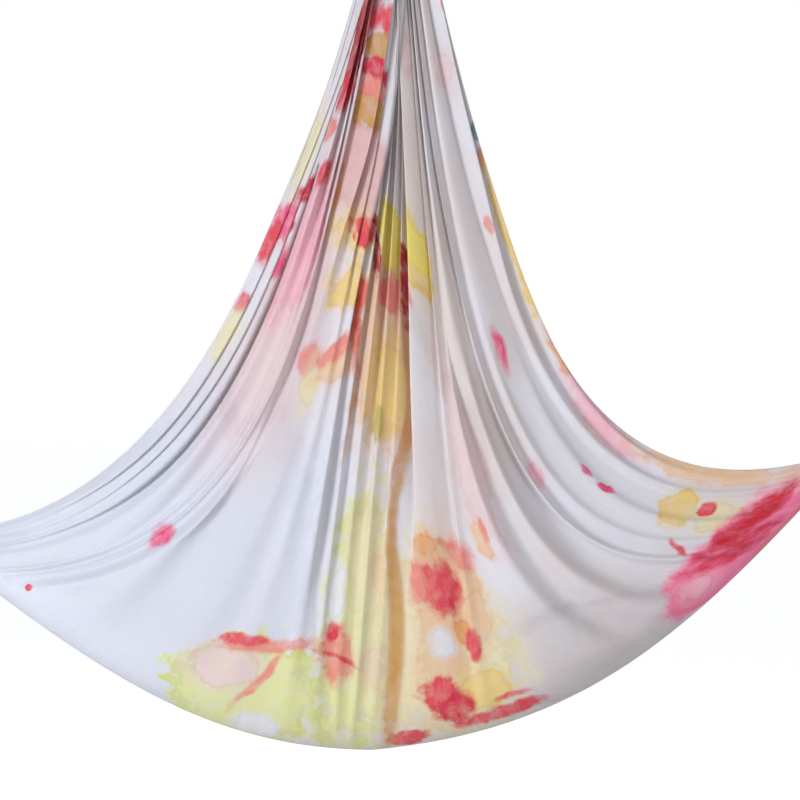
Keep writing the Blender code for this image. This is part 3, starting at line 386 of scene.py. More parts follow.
def linear(red, green, blue):
    """Shader colour of a dye or finish given as it looks, on the usual scale of 0 to 255."""
    shares = (v / 255 for v in (red, green, blue))
    return tuple(((v + 0.055) / 1.055) ** 2.4 if v > 10 / 255 else v / 12.92 for v in shares) + (1,)


def mixed(tree, share, one, other, kind="MIX"):
    """Colour between two colours. The Mix node's inputs 6 and 7 and its output 2 are the coloured ones."""
    made = tree.nodes.new("ShaderNodeMix")
    made.data_type = "RGBA"
    made.blend_type = kind
    for socket, value in ((0, share), (6, one), (7, other)):
        feed(tree, made.inputs[socket], value)
    return made.outputs[2]


def ranged(tree, value, low, high, to_low=0.0, to_high=1.0, smooth=True):
    """Value carried from one range to another, held at the ends."""
    made = tree.nodes.new("ShaderNodeMapRange")
    made.interpolation_type = "SMOOTHSTEP" if smooth else "LINEAR"
    for socket, amount in zip(made.inputs, (value, low, high, to_low, to_high)):
        feed(tree, socket, amount)
    return made.outputs[0]


def noise(tree, place, scale, detail, roughness=0.5, coloured=False):
    """Output of a noise texture, as one value or as a colour."""
    made = node(tree, "ShaderNodeTexNoise", Vector=place, Scale=scale, Detail=detail, Roughness=roughness)
    return made.outputs[1 if coloured else 0]


def bumped(tree, shader, height, strength, distance):
    """Fine relief of a given height, linked to the shader."""
    relief = node(tree, "ShaderNodeBump", Height=height, Strength=strength, Distance=distance).outputs[0]
    feed(tree, shader.inputs["Normal"], relief)
    return relief


# Long narrow splashes and broad ones have calmer edges than the others.
NARROW_RATIO = 8
BROAD_HALF = 0.24


def splash_group():
    """One splash of colour, mostly dyed print, in places painted shade and once a painted highlight: a ragged
    oval that is laid over the colour under it, darker along its rim.
    """
    group = bpy.data.node_groups.new("splash", "ShaderNodeTree")
    for kind, names in (
        ("NodeSocketColor", ("Under", "Overlay")),
        ("NodeSocketVector", ("Place", "Centre", "Stretch")),
        ("NodeSocketFloat", ("Turn", "Softness", "Ragged")),
    ):
        for name in names:
            group.interface.new_socket(name, in_out="INPUT", socket_type=kind)
    group.interface.new_socket("Colour", in_out="OUTPUT", socket_type="NodeSocketColor")
    given = group.nodes.new("NodeGroupInput").outputs
    turned = node(
        group, "ShaderNodeVectorRotate", Vector=given["Place"], Center=given["Centre"], Angle=given["Turn"]
    )
    turned.rotation_type = "Z_AXIS"
    away = maths(group, "SUBTRACT", turned.outputs[0], given["Centre"], vector=True)
    stretched = maths(group, "MULTIPLY", away, given["Stretch"], vector=True)
    reach = maths(group, "ADD", maths(group, "LENGTH", stretched, vector=True), given["Ragged"])
    outer = maths(group, "ADD", 1.0, given["Softness"])
    inner = maths(group, "SUBTRACT", 1.0, given["Softness"])
    faint = maths(group, "SUBTRACT", 0.90, maths(group, "MULTIPLY", given["Ragged"], 1.3))
    solid = ranged(group, faint, 0.0, 1.0, smooth=False)
    mask = maths(group, "MULTIPLY", ranged(group, reach, outer, inner), solid)
    from_rim = maths(group, "ABSOLUTE", maths(group, "SUBTRACT", reach, 0.86))
    rim = ranged(group, from_rim, 0.16, 0.0, 0.0, 0.45)
    stronger = mixed(group, rim, given["Overlay"], given["Overlay"], "MULTIPLY")
    colour = mixed(group, mask, given["Under"], stronger)
    group.links.new(colour, group.nodes.new("NodeGroupOutput").inputs[0])
    return group


def printed_nylon(name):
    """White knitted nylon with soft splashes of colour, a fine rib along the cloth and hair-fine creases.
    Most splashes are dyed print; some are painted shade, some are red print darkened as painted shadow,
    and one is pink print brightened as a painted highlight. Each splash is an oval, given by its colour,
    its centre across and along the cloth, half its width and half its length, all in centimetres, its
    turn in degrees, and its edge's softness in hundredths."""
    # Most of these are colours of the dyed print. The grey wash, the pinkish grey wash and the bluish grey
    # wash are painted shade, the pinkish one also holding the cloth's faint blush; the darkest red is red
    # print darkened as painted shadow; the brightest pink is print brightened as a painted highlight.
    splash_colours = {
        "shadowed_red": (180, 24, 34), "cherry": (208, 12, 44), "crimson": (214, 24, 66), "red": (226, 64, 84),
        "rust": (206, 84, 52), "magenta": (236, 70, 128), "sheen_bright_pink": (252, 112, 168),
        "salmon": (232, 138, 128), "rose": (224, 182, 182), "pink": (240, 180, 196),
        "blush": (230, 206, 208), "peach": (232, 196, 160), "orange": (226, 160, 100),
        "caramel": (208, 148, 104), "gold": (204, 150, 76), "straw": (236, 208, 132),
        "yellow": (240, 224, 108), "cream": (232, 224, 184), "lime": (220, 224, 158),
        "olive": (196, 182, 100), "slate": (112, 128, 150), "teal": (120, 158, 166),
        "white": (227, 227, 236), "shaded_warm_white": (226, 215, 210), "shaded_cool_white": (215, 220, 234), "painted_shade": (206, 200, 203),
    }
    splashes = (
        # Painted shade: the pinkish grey wash over the right middle is the cloth's faint blush together with
        # painted shade of that side, and the bluish grey wash over the left flank is painted shade of its
        # folds.
        ("shaded_warm_white", 196, 76, 30, 58, 0, 60), ("shaded_cool_white", 50, 180, 60, 60, 0, 60),
        # Painted shade: the broad grey wash over the lower right of the belly, which turns away from the
        # lamps.
        ("painted_shade", 198, 206, 34, 22, 0, 70), ("blush", 55, 105, 28, 40, 0, 70),
        # Painted shadow: the darkest reds at the top of the front are red print darkened as the shadow in its
        # folds.
        ("pink", 50, 92, 15, 18, 0, 60), ("shadowed_red", 58, 32, 31, 10, 0, 15), ("shadowed_red", 50, 44, 16, 9, 0, 20),
        ("crimson", 47, 54, 13, 5, 0, 30), ("salmon", 36, 63, 10, 3.5, 0, 35),
        ("cream", 8, 68, 7, 12, 0, 50), ("red", 48, 74, 5, 3.5, 0, 30), ("crimson", 28, 78, 12, 3, 0, 35),
        ("magenta", 12, 86, 13, 6, 0, 35), ("red", 5, 91, 7, 6, 0, 35), ("crimson", 25, 87, 5, 3, 0, 30),
        ("magenta", 27, 96, 6, 5, 0, 35), ("red", 5, 108, 4, 3, 0, 35), ("cream", 8, 117, 8, 7, 0, 60),
        ("rose", 98, 72, 34, 12, 0, 40), ("orange", 77.5, 77, 3, 7, 0, 40),
        ("gold", 93, 58, 24, 5.5, 0, 25), ("salmon", 93, 52.5, 24, 3, 0, 40),
        ("gold", 88, 43.5, 13, 3, 0, 35), ("crimson", 95, 48.3, 24, 2.6, 0, 30),
        ("red", 90, 37, 8, 3.5, 0, 35), ("straw", 98, 101, 18, 6.2, 0, 35),
        ("straw", 100, 87, 22, 6, 0, 60), ("red", 108, 86.2, 19, 4.2, 0, 20),
        ("red", 107, 103, 8, 4.5, 10, 25), ("peach", 134, 118, 23, 26, 0, 35),
        ("straw", 136, 127, 15, 12, 0, 50), ("yellow", 148, 88, 16, 10, 0, 30),
        ("salmon", 142, 102, 12, 5, 0, 45), ("olive", 128, 137, 3, 5, 0, 50),
        # Painted shadow: the dark red strip at 127 cm across is the shaded side of a middle pleat, over red
        # print.
        ("shadowed_red", 127, 91, 5, 8.5, 0, 25), ("rust", 108, 114, 3.5, 10, 0, 45),
        ("caramel", 112, 128, 2.2, 14, 0, 55), ("caramel", 147, 128, 2.6, 28, -15, 50),
        # Painted shadow: the dark red strip at 158.5 cm across is the shaded side of a middle pleat, over red
        # print.
        ("shadowed_red", 158.5, 100, 4.5, 12, -28, 25), ("straw", 186, 88.5, 15, 11, 10, 18),
        ("yellow", 190, 87, 9, 7, 10, 40), ("salmon", 176, 98.5, 2, 5, 15, 45),
        ("salmon", 79, 117, 4, 4, 0, 40), ("cream", 82, 124, 4, 7, 0, 60), ("peach", 95, 120, 12, 6, 0, 45),
        ("salmon", 92, 116.5, 9, 2.6, 10, 50), ("blush", 208, 38, 10, 6, 0, 50),
        ("blush", 254, 44, 6, 4.5, 0, 60), ("blush", 188, 140, 10, 25, 0, 60),
        ("salmon", 257.5, 81, 2, 1.8, 0, 35), ("magenta", 240, 107, 3, 5, 0, 60),
        ("pink", 230, 138, 3.5, 3.5, 0, 50), ("magenta", 251.5, 150, 1.4, 2.8, 20, 35),
        ("magenta", 253.5, 158.5, 1.3, 4, 30, 35), ("magenta", 44, 176, 4, 3.5, 0, 60),
        ("red", 27, 212, 1.2, 1.2, 0, 30), ("red", 262, 28.5, 2, 3, 0, 35),
        ("slate", 263, 38.5, 2.2, 3.5, 0, 30), ("teal", 264, 45.5, 2.4, 4, 0, 35),
        ("teal", 276, 60, 3, 2, 0, 35), ("salmon", 276, 67, 3, 3, 0, 40), ("straw", 277, 90, 6, 22, 0, 30),
        ("orange", 277, 122, 5, 10, 0, 40), ("pink", 274, 146, 5, 16, 0, 60),
        ("peach", 277, 184, 4, 26, 0, 60), ("lime", 94, 210, 22, 18, 6, 10),
        ("blush", 85, 203, 10, 7, 10, 50), ("salmon", 96, 194.5, 15, 2.2, 8, 50),
        ("red", 88, 194, 7, 1.8, 8, 45), ("salmon", 96, 205, 1.3, 9, -28, 55),
        ("white", 99, 219, 7, 5, 0, 18), ("lime", 126, 188, 14, 36, -6, 25),
        ("cream", 130, 172, 10, 18, -8, 50), ("white", 116.5, 180, 3, 9, -10, 30),
        ("salmon", 118, 196, 5.5, 8, 20, 35), ("crimson", 115.5, 189.5, 2, 2.2, 0, 40),
        ("crimson", 119, 196.8, 7, 0.8, -17, 60), ("peach", 135, 176, 4.5, 7, 0, 50),
        ("rose", 133, 198, 6, 6, 0, 50), ("cream", 153, 195, 24, 28, 0, 35),
        ("peach", 156, 188, 10, 26, -15, 50), ("peach", 160, 176, 12, 12, -15, 40),
        ("orange", 158, 166.5, 6, 2.2, 0, 55), ("red", 156.5, 177.5, 7, 8, -15, 35),
        ("salmon", 149, 176, 3, 6, -15, 50), ("crimson", 161.5, 180, 2.6, 5.5, -15, 40),
        ("peach", 182, 163, 4, 5, 10, 35), ("salmon", 184.5, 160.5, 1.8, 3.4, -15, 45),
        ("peach", 167, 186, 5, 10, -10, 55), ("salmon", 170, 168.5, 5, 4, 0, 55),
        ("white", 153, 193, 5, 4, 0, 40), ("orange", 162, 190, 4, 3, 0, 40),
        ("red", 164.5, 193.5, 2.4, 5, -15, 30), ("straw", 163, 208, 8, 7, 0, 35),
        ("red", 150, 207, 5.5, 5, -20, 25), ("crimson", 154, 212, 5, 5, 0, 30),
        ("red", 166, 217.5, 12, 2.8, 0, 30), ("red", 170, 212, 4.5, 1.2, 0, 50),
        ("red", 140, 220, 5.5, 3.5, 0, 22), ("gold", 140, 182, 2.6, 42, -8, 55),
        ("straw", 261, 182, 8.5, 6.5, 0, 22), ("cream", 260, 194, 7, 8, 0, 35),
        ("red", 263.5, 189.5, 3, 2.6, 0, 25), ("pink", 269, 206, 5, 6, 0, 45),
        # Painted highlight: the large bright pink at the right tip is its pink print, brightened further to
        # stand in for the sheen of the lit cloth.
        ("sheen_bright_pink", 245, 213, 27, 16.5, 0, 14), ("pink", 230, 210, 6, 6, 0, 85),
        ("cherry", 258, 205.5, 16, 4.6, -18, 45), ("crimson", 246, 209, 13, 4.5, -30, 55),
        ("salmon", 244, 223.5, 20, 2.5, 10, 45), ("red", 246, 190, 1.2, 5, -35, 45),
    )
    look, tree, shader = new_look(name, Roughness=0.62, Sheen_Weight=0.12, Specular_IOR_Level=0.35)
    cut = tree.nodes.new("ShaderNodeUVMap")
    cut.uv_map = "cloth_cut"
    across, along = node(tree, "ShaderNodeSeparateXYZ", Vector=cut.outputs[0]).outputs[:2]
    repeat = maths(tree, "PINGPONG", along, CLOTH_LENGTH / 2)
    place = node(tree, "ShaderNodeCombineXYZ", X=across, Y=repeat).outputs[0]
    broad = noise(tree, place, 7.0, 3.0, 0.55, coloured=True)
    drift = maths(tree, "SUBTRACT", broad, (0.5, 0.5, 0.5), vector=True)
    moved = maths(tree, "MULTIPLY_ADD", drift, (0.07, 0.07, 0.0), place, vector=True)
    streaks = maths(tree, "MULTIPLY", place, (60.0, 7.0, 1.0), vector=True)
    bleed = maths(tree, "SUBTRACT", noise(tree, streaks, 1.0, 3.0, 0.6), 0.5)
    blots = maths(tree, "SUBTRACT", noise(tree, moved, 20.0, 4.0, 0.6), 0.5)
    ragged = maths(tree, "ADD", maths(tree, "MULTIPLY", blots, 1.1), maths(tree, "MULTIPLY", bleed, 0.24))
    calm_edge = maths(tree, "MULTIPLY", ragged, 0.35)
    tint = ranged(tree, noise(tree, place, 2.2, 2.0), 0.40, 0.62)
    colour = mixed(tree, tint, linear(*splash_colours["white"]), linear(224, 217, 219))
    splash = splash_group()
    for dye_or_shade, *sizes, turn, softness in splashes:
        at_across, at_along, half_width, half_length = (size / 100 for size in sizes)
        spot = tree.nodes.new("ShaderNodeGroup")
        spot.node_tree = splash
        narrow = half_length > NARROW_RATIO * half_width
        for label, value in (
            ("Under", colour),
            ("Overlay", linear(*splash_colours[dye_or_shade])),
            ("Place", place if narrow else moved),
            ("Centre", (at_across, at_along, 0)),
            ("Stretch", (1 / half_width, 1 / half_length, 0)),
            ("Turn", math.radians(turn)),
            ("Softness", softness / 100),
            ("Ragged", calm_edge if narrow or half_width > BROAD_HALF else ragged),
        ):
            feed(tree, spot.inputs[label], value)
        colour = spot.outputs[0]
    rib_place = maths(tree, "MULTIPLY", place, (420.0, 9.0, 1.0), vector=True)
    rib = noise(tree, rib_place, 1.0, 3.0, 0.7)
    colour = mixed(tree, ranged(tree, rib, 0.35, 0.70, 0.0, 0.14), colour, (0.45, 0.43, 0.44, 1))
    feed(tree, shader.inputs["Base Color"], colour)
    knit = node(tree, "ShaderNodeTexWave", Vector=place, Scale=260.0, Distortion=0.6)
    knit.bands_direction = "X"
    stitches = maths(tree, "MULTIPLY", knit.outputs["Fac"], 0.00012)
    height = maths(tree, "ADD", maths(tree, "MULTIPLY", rib, 0.0012), stitches)
    relief = bumped(tree, shader, height, 0.6, 1.0)
    shine = node(tree, "ShaderNodeBsdfTranslucent", Color=colour, Normal=relief).outputs[0]
    both = node(tree, "ShaderNodeMixShader", i0=0.22, i1=shader.outputs[0], i2=shine)
    feed(tree, tree.nodes["Material Output"].inputs[0], both.outputs[0])
    return look


nylon = printed_nylon("printed_nylon")
sling = place_piece("sling", cloth_mesh, nylon)
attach(sling, "sling")
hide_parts("sling_cloth")

# Hems: each selvedge is rolled over once to a flat band and sewn down. They are the cloth's own edges,
# and run from the front neck down to a tip and back up to the rear neck.
HEM_WIDTH = 0.006
HEM_THICKNESS = 0.0022


def full_turn(count):
    """Angles of the points of a ring."""
    return np.arange(count) * 2 * math.pi / count


def unit(vectors):
    """Directions of unit length."""
    return vectors / np.linalg.norm(vectors, axis=1, keepdims=True)


def square_to(ahead, vectors):
    """Unit directions nearest to the given vectors and square to the way ahead."""
    return unit(vectors - (vectors * ahead).sum(axis=1, keepdims=True) * ahead)


def blunted(values, power):
    """Values between -1 and 1, moved towards those ends by a power below 1."""
    return np.sign(values) * np.abs(values) ** power


def rings_along(path, out, across, ring_out, ring_across):
    """Rings of points along a path, each point so far along the path's outward and crosswise directions."""
    return path[:, None] + ring_out[:, None] * out[:, None] + ring_across[:, None] * across[:, None]


def hem_band(column, inner_column, cut_at, cut_towards):
    """Flat tube laid over one edge of the cloth's grid, from the edge inwards, with its places on the cut."""
    edge = cloth_points[:, column]
    ahead = unit(np.gradient(edge, axis=0))
    inward = square_to(ahead, cloth_points[:, inner_column] - edge)
    turn = full_turn(14)
    wide = (0.5 + 0.5 * np.cos(turn)) * HEM_WIDTH
    thick = blunted(np.sin(turn), 0.6) * HEM_THICKNESS / 2
    flat = flat_grid(cut_at + cut_towards * wide, cloth_along).reshape(-1, 2)
    points = rings_along(edge, inward, np.cross(ahead, inward), wide, thick)
    return points, np.concatenate([flat, flat[:1], flat[-1:]])


for hem_name, column, inner_column, cut_at, cut_towards in (
    ("hem_left", 0, 2, 0.0, 1),
    ("hem_right", -1, -3, CLOTH_WIDTH, -1),
):
    hem_points, hem_flat = hem_band(column, inner_column, cut_at, cut_towards)
    hem_mesh = grid_mesh("hem", hem_points, wrap_around=True, caps=True)
    lay_uv(hem_mesh, "cloth_cut", hem_flat)
    hem = place_piece(hem_name, hem_mesh, nylon)
    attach(hem, "sling")

# Gathered ends: the cloth's own two ends, bunched into tight flutes inside the choker. Each is tied in a
# stopper knot above it, and its cut tail stands between the choker's legs.
KNOT_CENTRE = 0.195
KNOT_HALF = 0.030
TAIL_TOP = 0.130
KNOT_RADIUS = 0.031
BUNCH_RADIUS = 0.0205
SEAT_GAP = 0.0003
FLUTE_ROWS = 260
FLUTE_COLUMNS = 288
LIMBS = (("front", -1), ("rear", 1))


def on_limb(points, side):
    """Points of the front (side -1) or rear (side 1) limb, which leans outwards from the swivel's bar,
    carried to their places in the world."""
    tilt = Matrix.Rotation(math.pi if side < 0 else 0.0, 3, "Z") @ Matrix.Rotation(LEAN, 3, "X")
    return points @ np.array(tilt).T + np.array((0, 0, BAR_Z))


def bunched_end(side):
    """Flutes around a profile that runs from the neck over the knot to the tail. On the knot they lie in
    three strands that wind round it as a tied cloth does, and the cut tail opens into a ruffle."""
    drops = np.linspace(TAIL_TOP, NECK_DROP, FLUTE_ROWS)
    drop, angle = np.meshgrid(drops, full_turn(FLUTE_COLUMNS), indexing="ij")
    knot_top, knot_foot = KNOT_CENTRE - KNOT_HALF, KNOT_CENTRE + KNOT_HALF
    profile = ((TAIL_TOP, 0.0112), (0.142, 0.0102), (0.154, 0.0088), (knot_top, 0.0120), (0.173, 0.0250))
    profile += ((0.184, 0.0300), (KNOT_CENTRE, KNOT_RADIUS), (0.206, 0.0300), (0.217, 0.0258))
    profile += ((knot_foot, BUNCH_RADIUS), (0.234, 0.0203), (0.286, 0.0203), (NECK_DROP, NECK_RADIUS))
    radius = through(*zip(*profile), drop)
    on_knot = span(drop, knot_top, 0.178, 0.212, knot_foot)
    open_tail = 1 - ease(drop, TAIL_TOP, 0.152)
    wind = angle + 55.0 * (drop - KNOT_CENTRE) + side
    strand = np.abs(np.cos(1.5 * wind)) ** 0.7
    beside_knot = 2.0 * np.sin(2 * angle) - 700.0 * (drop - KNOT_CENTRE)
    lie = 13 * wind + on_knot * 9.0 * np.sin(3 * wind) + (1 - on_knot) * beside_knot
    flutes = 0.5 - 0.5 * np.cos(lie)
    fine = 0.5 - 0.5 * np.cos(3.1 * lie + 2 * np.sin(5 * angle))
    share = 0.16 - 0.10 * on_knot + 0.12 * open_tail
    scallops = (1 - on_knot) * ease(drop, 0.150, 0.135) * np.cos(9 * angle)
    ruffle = 1 + 0.22 * open_tail * np.cos(5 * angle + side) + 0.10 * scallops
    radius = radius * ruffle * (1 - share * flutes - 0.03 * fine - 0.24 * on_knot * (1 - strand))
    fan = 1 + 0.45 * open_tail - 0.50 * ease(drop, 0.282, NECK_DROP)
    cut_edge = open_tail * (0.0050 * np.sin(2 * angle + 0.4) + 0.0022 * np.sin(5 * angle + side))
    points = np.stack([radius * np.cos(angle), radius * np.sin(angle) * fan, -drop + cut_edge], axis=-1)
    mesh = grid_mesh("gather", on_limb(points, side), wrap_around=True, caps=True)
    flat = flat_grid(angle / (2 * math.pi) * CLOTH_WIDTH, NECK_DROP - drop).reshape(-1, 2)
    lay_uv(mesh, "cloth_cut", np.concatenate([flat, np.zeros((2, 2))]))
    return mesh


for end_name, side in LIMBS:
    gather = place_piece("gathered_cloth_" + end_name, bunched_end(side), nylon)
    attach(gather, "sling")
    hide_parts("gathered_end_" + end_name)

# Chokers: one sewn loop of flat polyester webbing on each lower carabiner. It passes over the basket,
# down beside the knot and one and a half turns round the neck, where the cloth's pull draws it tight.
# A bar of coloured thread is sewn to and fro over the lap of its two ends.
ROD_RADIUS = 0.0055
BOW_RADIUS = 0.0230
BASKET_DROP = 0.0897
WEBBING_WIDTH = 0.016
WEBBING_THICKNESS = 0.0026
WRAP_TOP = 0.230
WRAP_PITCH = 0.0205
WRAP_TURN_RADIUS = 0.012
WRAP_CROSSING_GAP = 0.0005
WRAP_STEPS = 160
LEG_STEPS = 60
SIDE_SHIFT = 0.0070
WARP_PITCH = 0.0013
WEFT_PITCH = 0.0017
TACK_START = 0.056
TACK_LENGTH = 0.016
TACK_ROWS = 22
TACK_REACH = 0.34
TACK_LIFT = 0.00005
THREAD_RADIUS = 0.00032


def choker_path():
    """Middle line of the loop and the direction that its outer face looks in, in the limb's frame."""
    half = WEBBING_THICKNESS / 2
    inner_bow = BOW_RADIUS - ROD_RADIUS
    edge_rise = inner_bow - math.sqrt(inner_bow**2 - (WEBBING_WIDTH / 2) ** 2)
    arch_radius = ROD_RADIUS + SEAT_GAP + edge_rise + half
    wrap_radius = BUNCH_RADIUS + SEAT_GAP + half
    knot_side = KNOT_RADIUS + SEAT_GAP + half
    lifted = wrap_radius + WEBBING_THICKNESS + WRAP_CROSSING_GAP
    length = 3 * math.pi * wrap_radius
    slope = WRAP_PITCH / (2 * math.pi * wrap_radius)
    tilt = math.atan(slope)

    over = np.linspace(0, math.pi, 40)
    arch_out = np.stack([np.cos(over), 0 * over, np.sin(over)], axis=1)
    arch = np.array((SIDE_SHIFT, 0, -BASKET_DROP)) + arch_radius * arch_out
    leg = np.linspace(BASKET_DROP, WRAP_TOP, LEG_STEPS + 2)[1:-1]
    drops = (BASKET_DROP, KNOT_CENTRE - KNOT_HALF / 2, KNOT_CENTRE + KNOT_HALF / 2, WRAP_TOP)
    left = through(drops, (arch_radius - SIDE_SHIFT, knot_side, knot_side, wrap_radius), leg)
    right = through(drops, (arch_radius + SIDE_SHIFT, knot_side, knot_side, lifted), leg)
    left_leg = np.stack([-left, 0 * leg, -leg], axis=1)
    right_leg = np.stack([right, 0 * leg, -leg], axis=1)[::-1]

    down = np.linspace(0, math.pi / 2 - tilt, 14)
    places = [(WRAP_TURN_RADIUS * (1 - math.cos(a)), -WRAP_TURN_RADIUS * math.sin(a)) for a in down]
    start_run, start_fall = places[-1]
    up_run = WRAP_TURN_RADIUS * (1 + math.sin(tilt))
    stride = (length - start_run - up_run) / WRAP_STEPS
    places += [(start_run + stride * k, start_fall - slope * stride * k) for k in range(1, WRAP_STEPS + 1)]
    turn_run, turn_fall = places[-1]
    for a in np.linspace(-tilt, math.pi / 2, 16)[1:]:
        along = WRAP_TURN_RADIUS * (math.sin(a) + math.sin(tilt))
        places.append((turn_run + along, turn_fall + WRAP_TURN_RADIUS * (math.cos(tilt) - math.cos(a))))
    run, fall = np.array(places).T
    turned = math.pi + run / wrap_radius
    lift_end = length - up_run
    radius = wrap_radius + (lifted - wrap_radius) * ease(run, lift_end - 2 * WEBBING_WIDTH, lift_end)
    wrap = np.stack([radius * np.cos(turned), radius * np.sin(turned), fall - WRAP_TOP], axis=1)
    wrap_out = np.stack([np.cos(turned), np.sin(turned), 0 * turned], axis=1)
    left_out, right_out = (np.tile((sign, 0.0, 0.0), (LEG_STEPS, 1)) for sign in (-1.0, 1.0))
    path = np.concatenate([arch, left_leg, wrap, right_leg])
    return path, np.concatenate([arch_out, left_out, wrap_out, right_out])


def carried(path, outward):
    """Outward direction square to a closed path, and the direction across it."""
    ahead = unit(np.roll(path, -1, axis=0) - np.roll(path, 1, axis=0))
    outward = square_to(ahead, outward)
    return outward, np.cross(ahead, outward)


def webbing_loop(path, outward):
    """Flat strap with rounded edges and a shallow rib along each edge, carried along the closed path."""
    outward, across = carried(path, outward)
    turn = full_turn(28)
    wide = blunted(np.sin(turn), 0.8)
    thick = blunted(np.cos(turn), 0.35) * WEBBING_THICKNESS / 2 * (0.90 + 0.10 * np.abs(wide) ** 4)
    wide = wide * WEBBING_WIDTH / 2
    steps = np.linalg.norm(np.roll(path, -1, axis=0) - path, axis=1)
    along = np.concatenate([[0], np.cumsum(steps)[:-1]])
    return rings_along(path, outward, across, thick, wide), along, wide


def woven_webbing(name, colour):
    """Polyester webbing: a plain weave of thick yarns, with a little fuzz and wear, and painted shade between
    the yarns.
    """
    look, tree, shader = new_look(name, Sheen_Weight=0.3)
    strap = tree.nodes.new("ShaderNodeUVMap")
    strap.uv_map = "strap"
    place = strap.outputs[0]
    wide, along = node(tree, "ShaderNodeSeparateXYZ", Vector=place).outputs[:2]
    warp = maths(tree, "SINE", maths(tree, "MULTIPLY", wide, 2 * math.pi / WARP_PITCH))
    weft = maths(tree, "SINE", maths(tree, "MULTIPLY", along, 2 * math.pi / WEFT_PITCH))
    relief = ranged(tree, maths(tree, "MULTIPLY", warp, weft), -1.0, 1.0)
    fuzz = noise(tree, place, 900.0, 3.0)
    worn = ranged(tree, noise(tree, place, 40.0, 3.0), 0.45, 0.75, 0.0, 0.25)
    # Painted shade: the colour is darkened towards black where the weave lies low, between the yarns.
    shade = mixed(tree, ranged(tree, relief, 0.0, 1.0, 0.45, 0.0), colour, (0.02, 0.02, 0.022, 1))
    feed(tree, shader.inputs["Base Color"], mixed(tree, worn, shade, (0.30, 0.30, 0.31, 1)))
    feed(tree, shader.inputs["Roughness"], ranged(tree, fuzz, 0.3, 0.7, 0.62, 0.85))
    bumped(tree, shader, maths(tree, "ADD", relief, maths(tree, "MULTIPLY", fuzz, 0.5)), 0.7, 0.0004)
    return look


def bar_tack(path, outward, along):
    """One thread sewn to and fro across the strap where its two ends lap, as a round bar on its face."""
    across = carried(path, outward)[1]
    share = np.linspace(0, 1, TACK_ROWS * 14 + 1)
    at = TACK_START + TACK_LENGTH * share
    centre, out, side = (
        np.stack([np.interp(at, along, each[:, k]) for k in range(3)], axis=1)
        for each in (path, outward, across)
    )
    zigzag = 2 / math.pi * np.arcsin(np.sin(math.pi * TACK_ROWS * share)) * WEBBING_WIDTH * TACK_REACH
    line = centre + out * (WEBBING_THICKNESS / 2 + TACK_LIFT) + side * zigzag[:, None]
    square = unit(np.cross(np.gradient(line, axis=0), out))
    turn = full_turn(10)
    return rings_along(line, out, square, THREAD_RADIUS * np.cos(turn), THREAD_RADIUS * np.sin(turn))


webbing_look = woven_webbing("black_webbing", (0.045, 0.045, 0.050, 1))
thread_look, tree, shader = new_look("bonded_thread", Roughness=0.55)
twist = node(tree, "ShaderNodeTexCoord").outputs["Object"]
plies = node(tree, "ShaderNodeTexWave", Vector=twist, Scale=900.0).outputs["Fac"]
feed(tree, shader.inputs["Base Color"], mixed(tree, plies, linear(196, 60, 72), linear(224, 110, 118)))

path, outward = choker_path()
strap_points, strap_along, strap_wide = webbing_loop(path, outward)
tack_points = bar_tack(path, outward, strap_along)
for end_name, side in LIMBS:
    loop_points = on_limb(strap_points, side)[:, ::-1]
    loop_mesh = grid_mesh("choker", loop_points, wrap_around=True, wrap_along=True)
    lay_uv(loop_mesh, "strap", flat_grid(strap_wide[::-1], strap_along[:, None]))
    strap = place_piece("webbing_" + end_name, loop_mesh, webbing_look)
    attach(strap, "sling")
    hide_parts(end_name + "_choker")
    tack_mesh = grid_mesh("tack", on_limb(tack_points, side), wrap_around=True, caps=True)
    tack = place_piece("bar_tack_" + end_name, tack_mesh, thread_look)
    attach(tack, "sling")

# Carabiner frames: steel rod bent into an oval and zinc plated, one on the anchor and one in each choker.
# The nose carries a tongue for the gate's slot, and the other end a tenon for the gate's pin.
SPINE = 0.056
NOSE_Z = 0.0208
NOSE_TOP_Z = 0.0244
HINGE_Z = -0.0215
HINGE_END_Z = -0.0270
HINGE_NECK_Z = -0.0275
GATE_RADIUS = 0.0052
TOP_CENTRE = -0.0455
CARABINER_BELOW_BAR = 0.0387
CREASE_ANGLE = math.radians(35)
BEVEL = 0.0004
TAB_THICKNESS = 0.004
TAB_CHAMFER = 0.0003
TAB_FOOT = 0.0060
TENON_RADIUS = 0.0044
TONGUE_HALF = 0.0036
TONGUE_ROOT = 0.0005


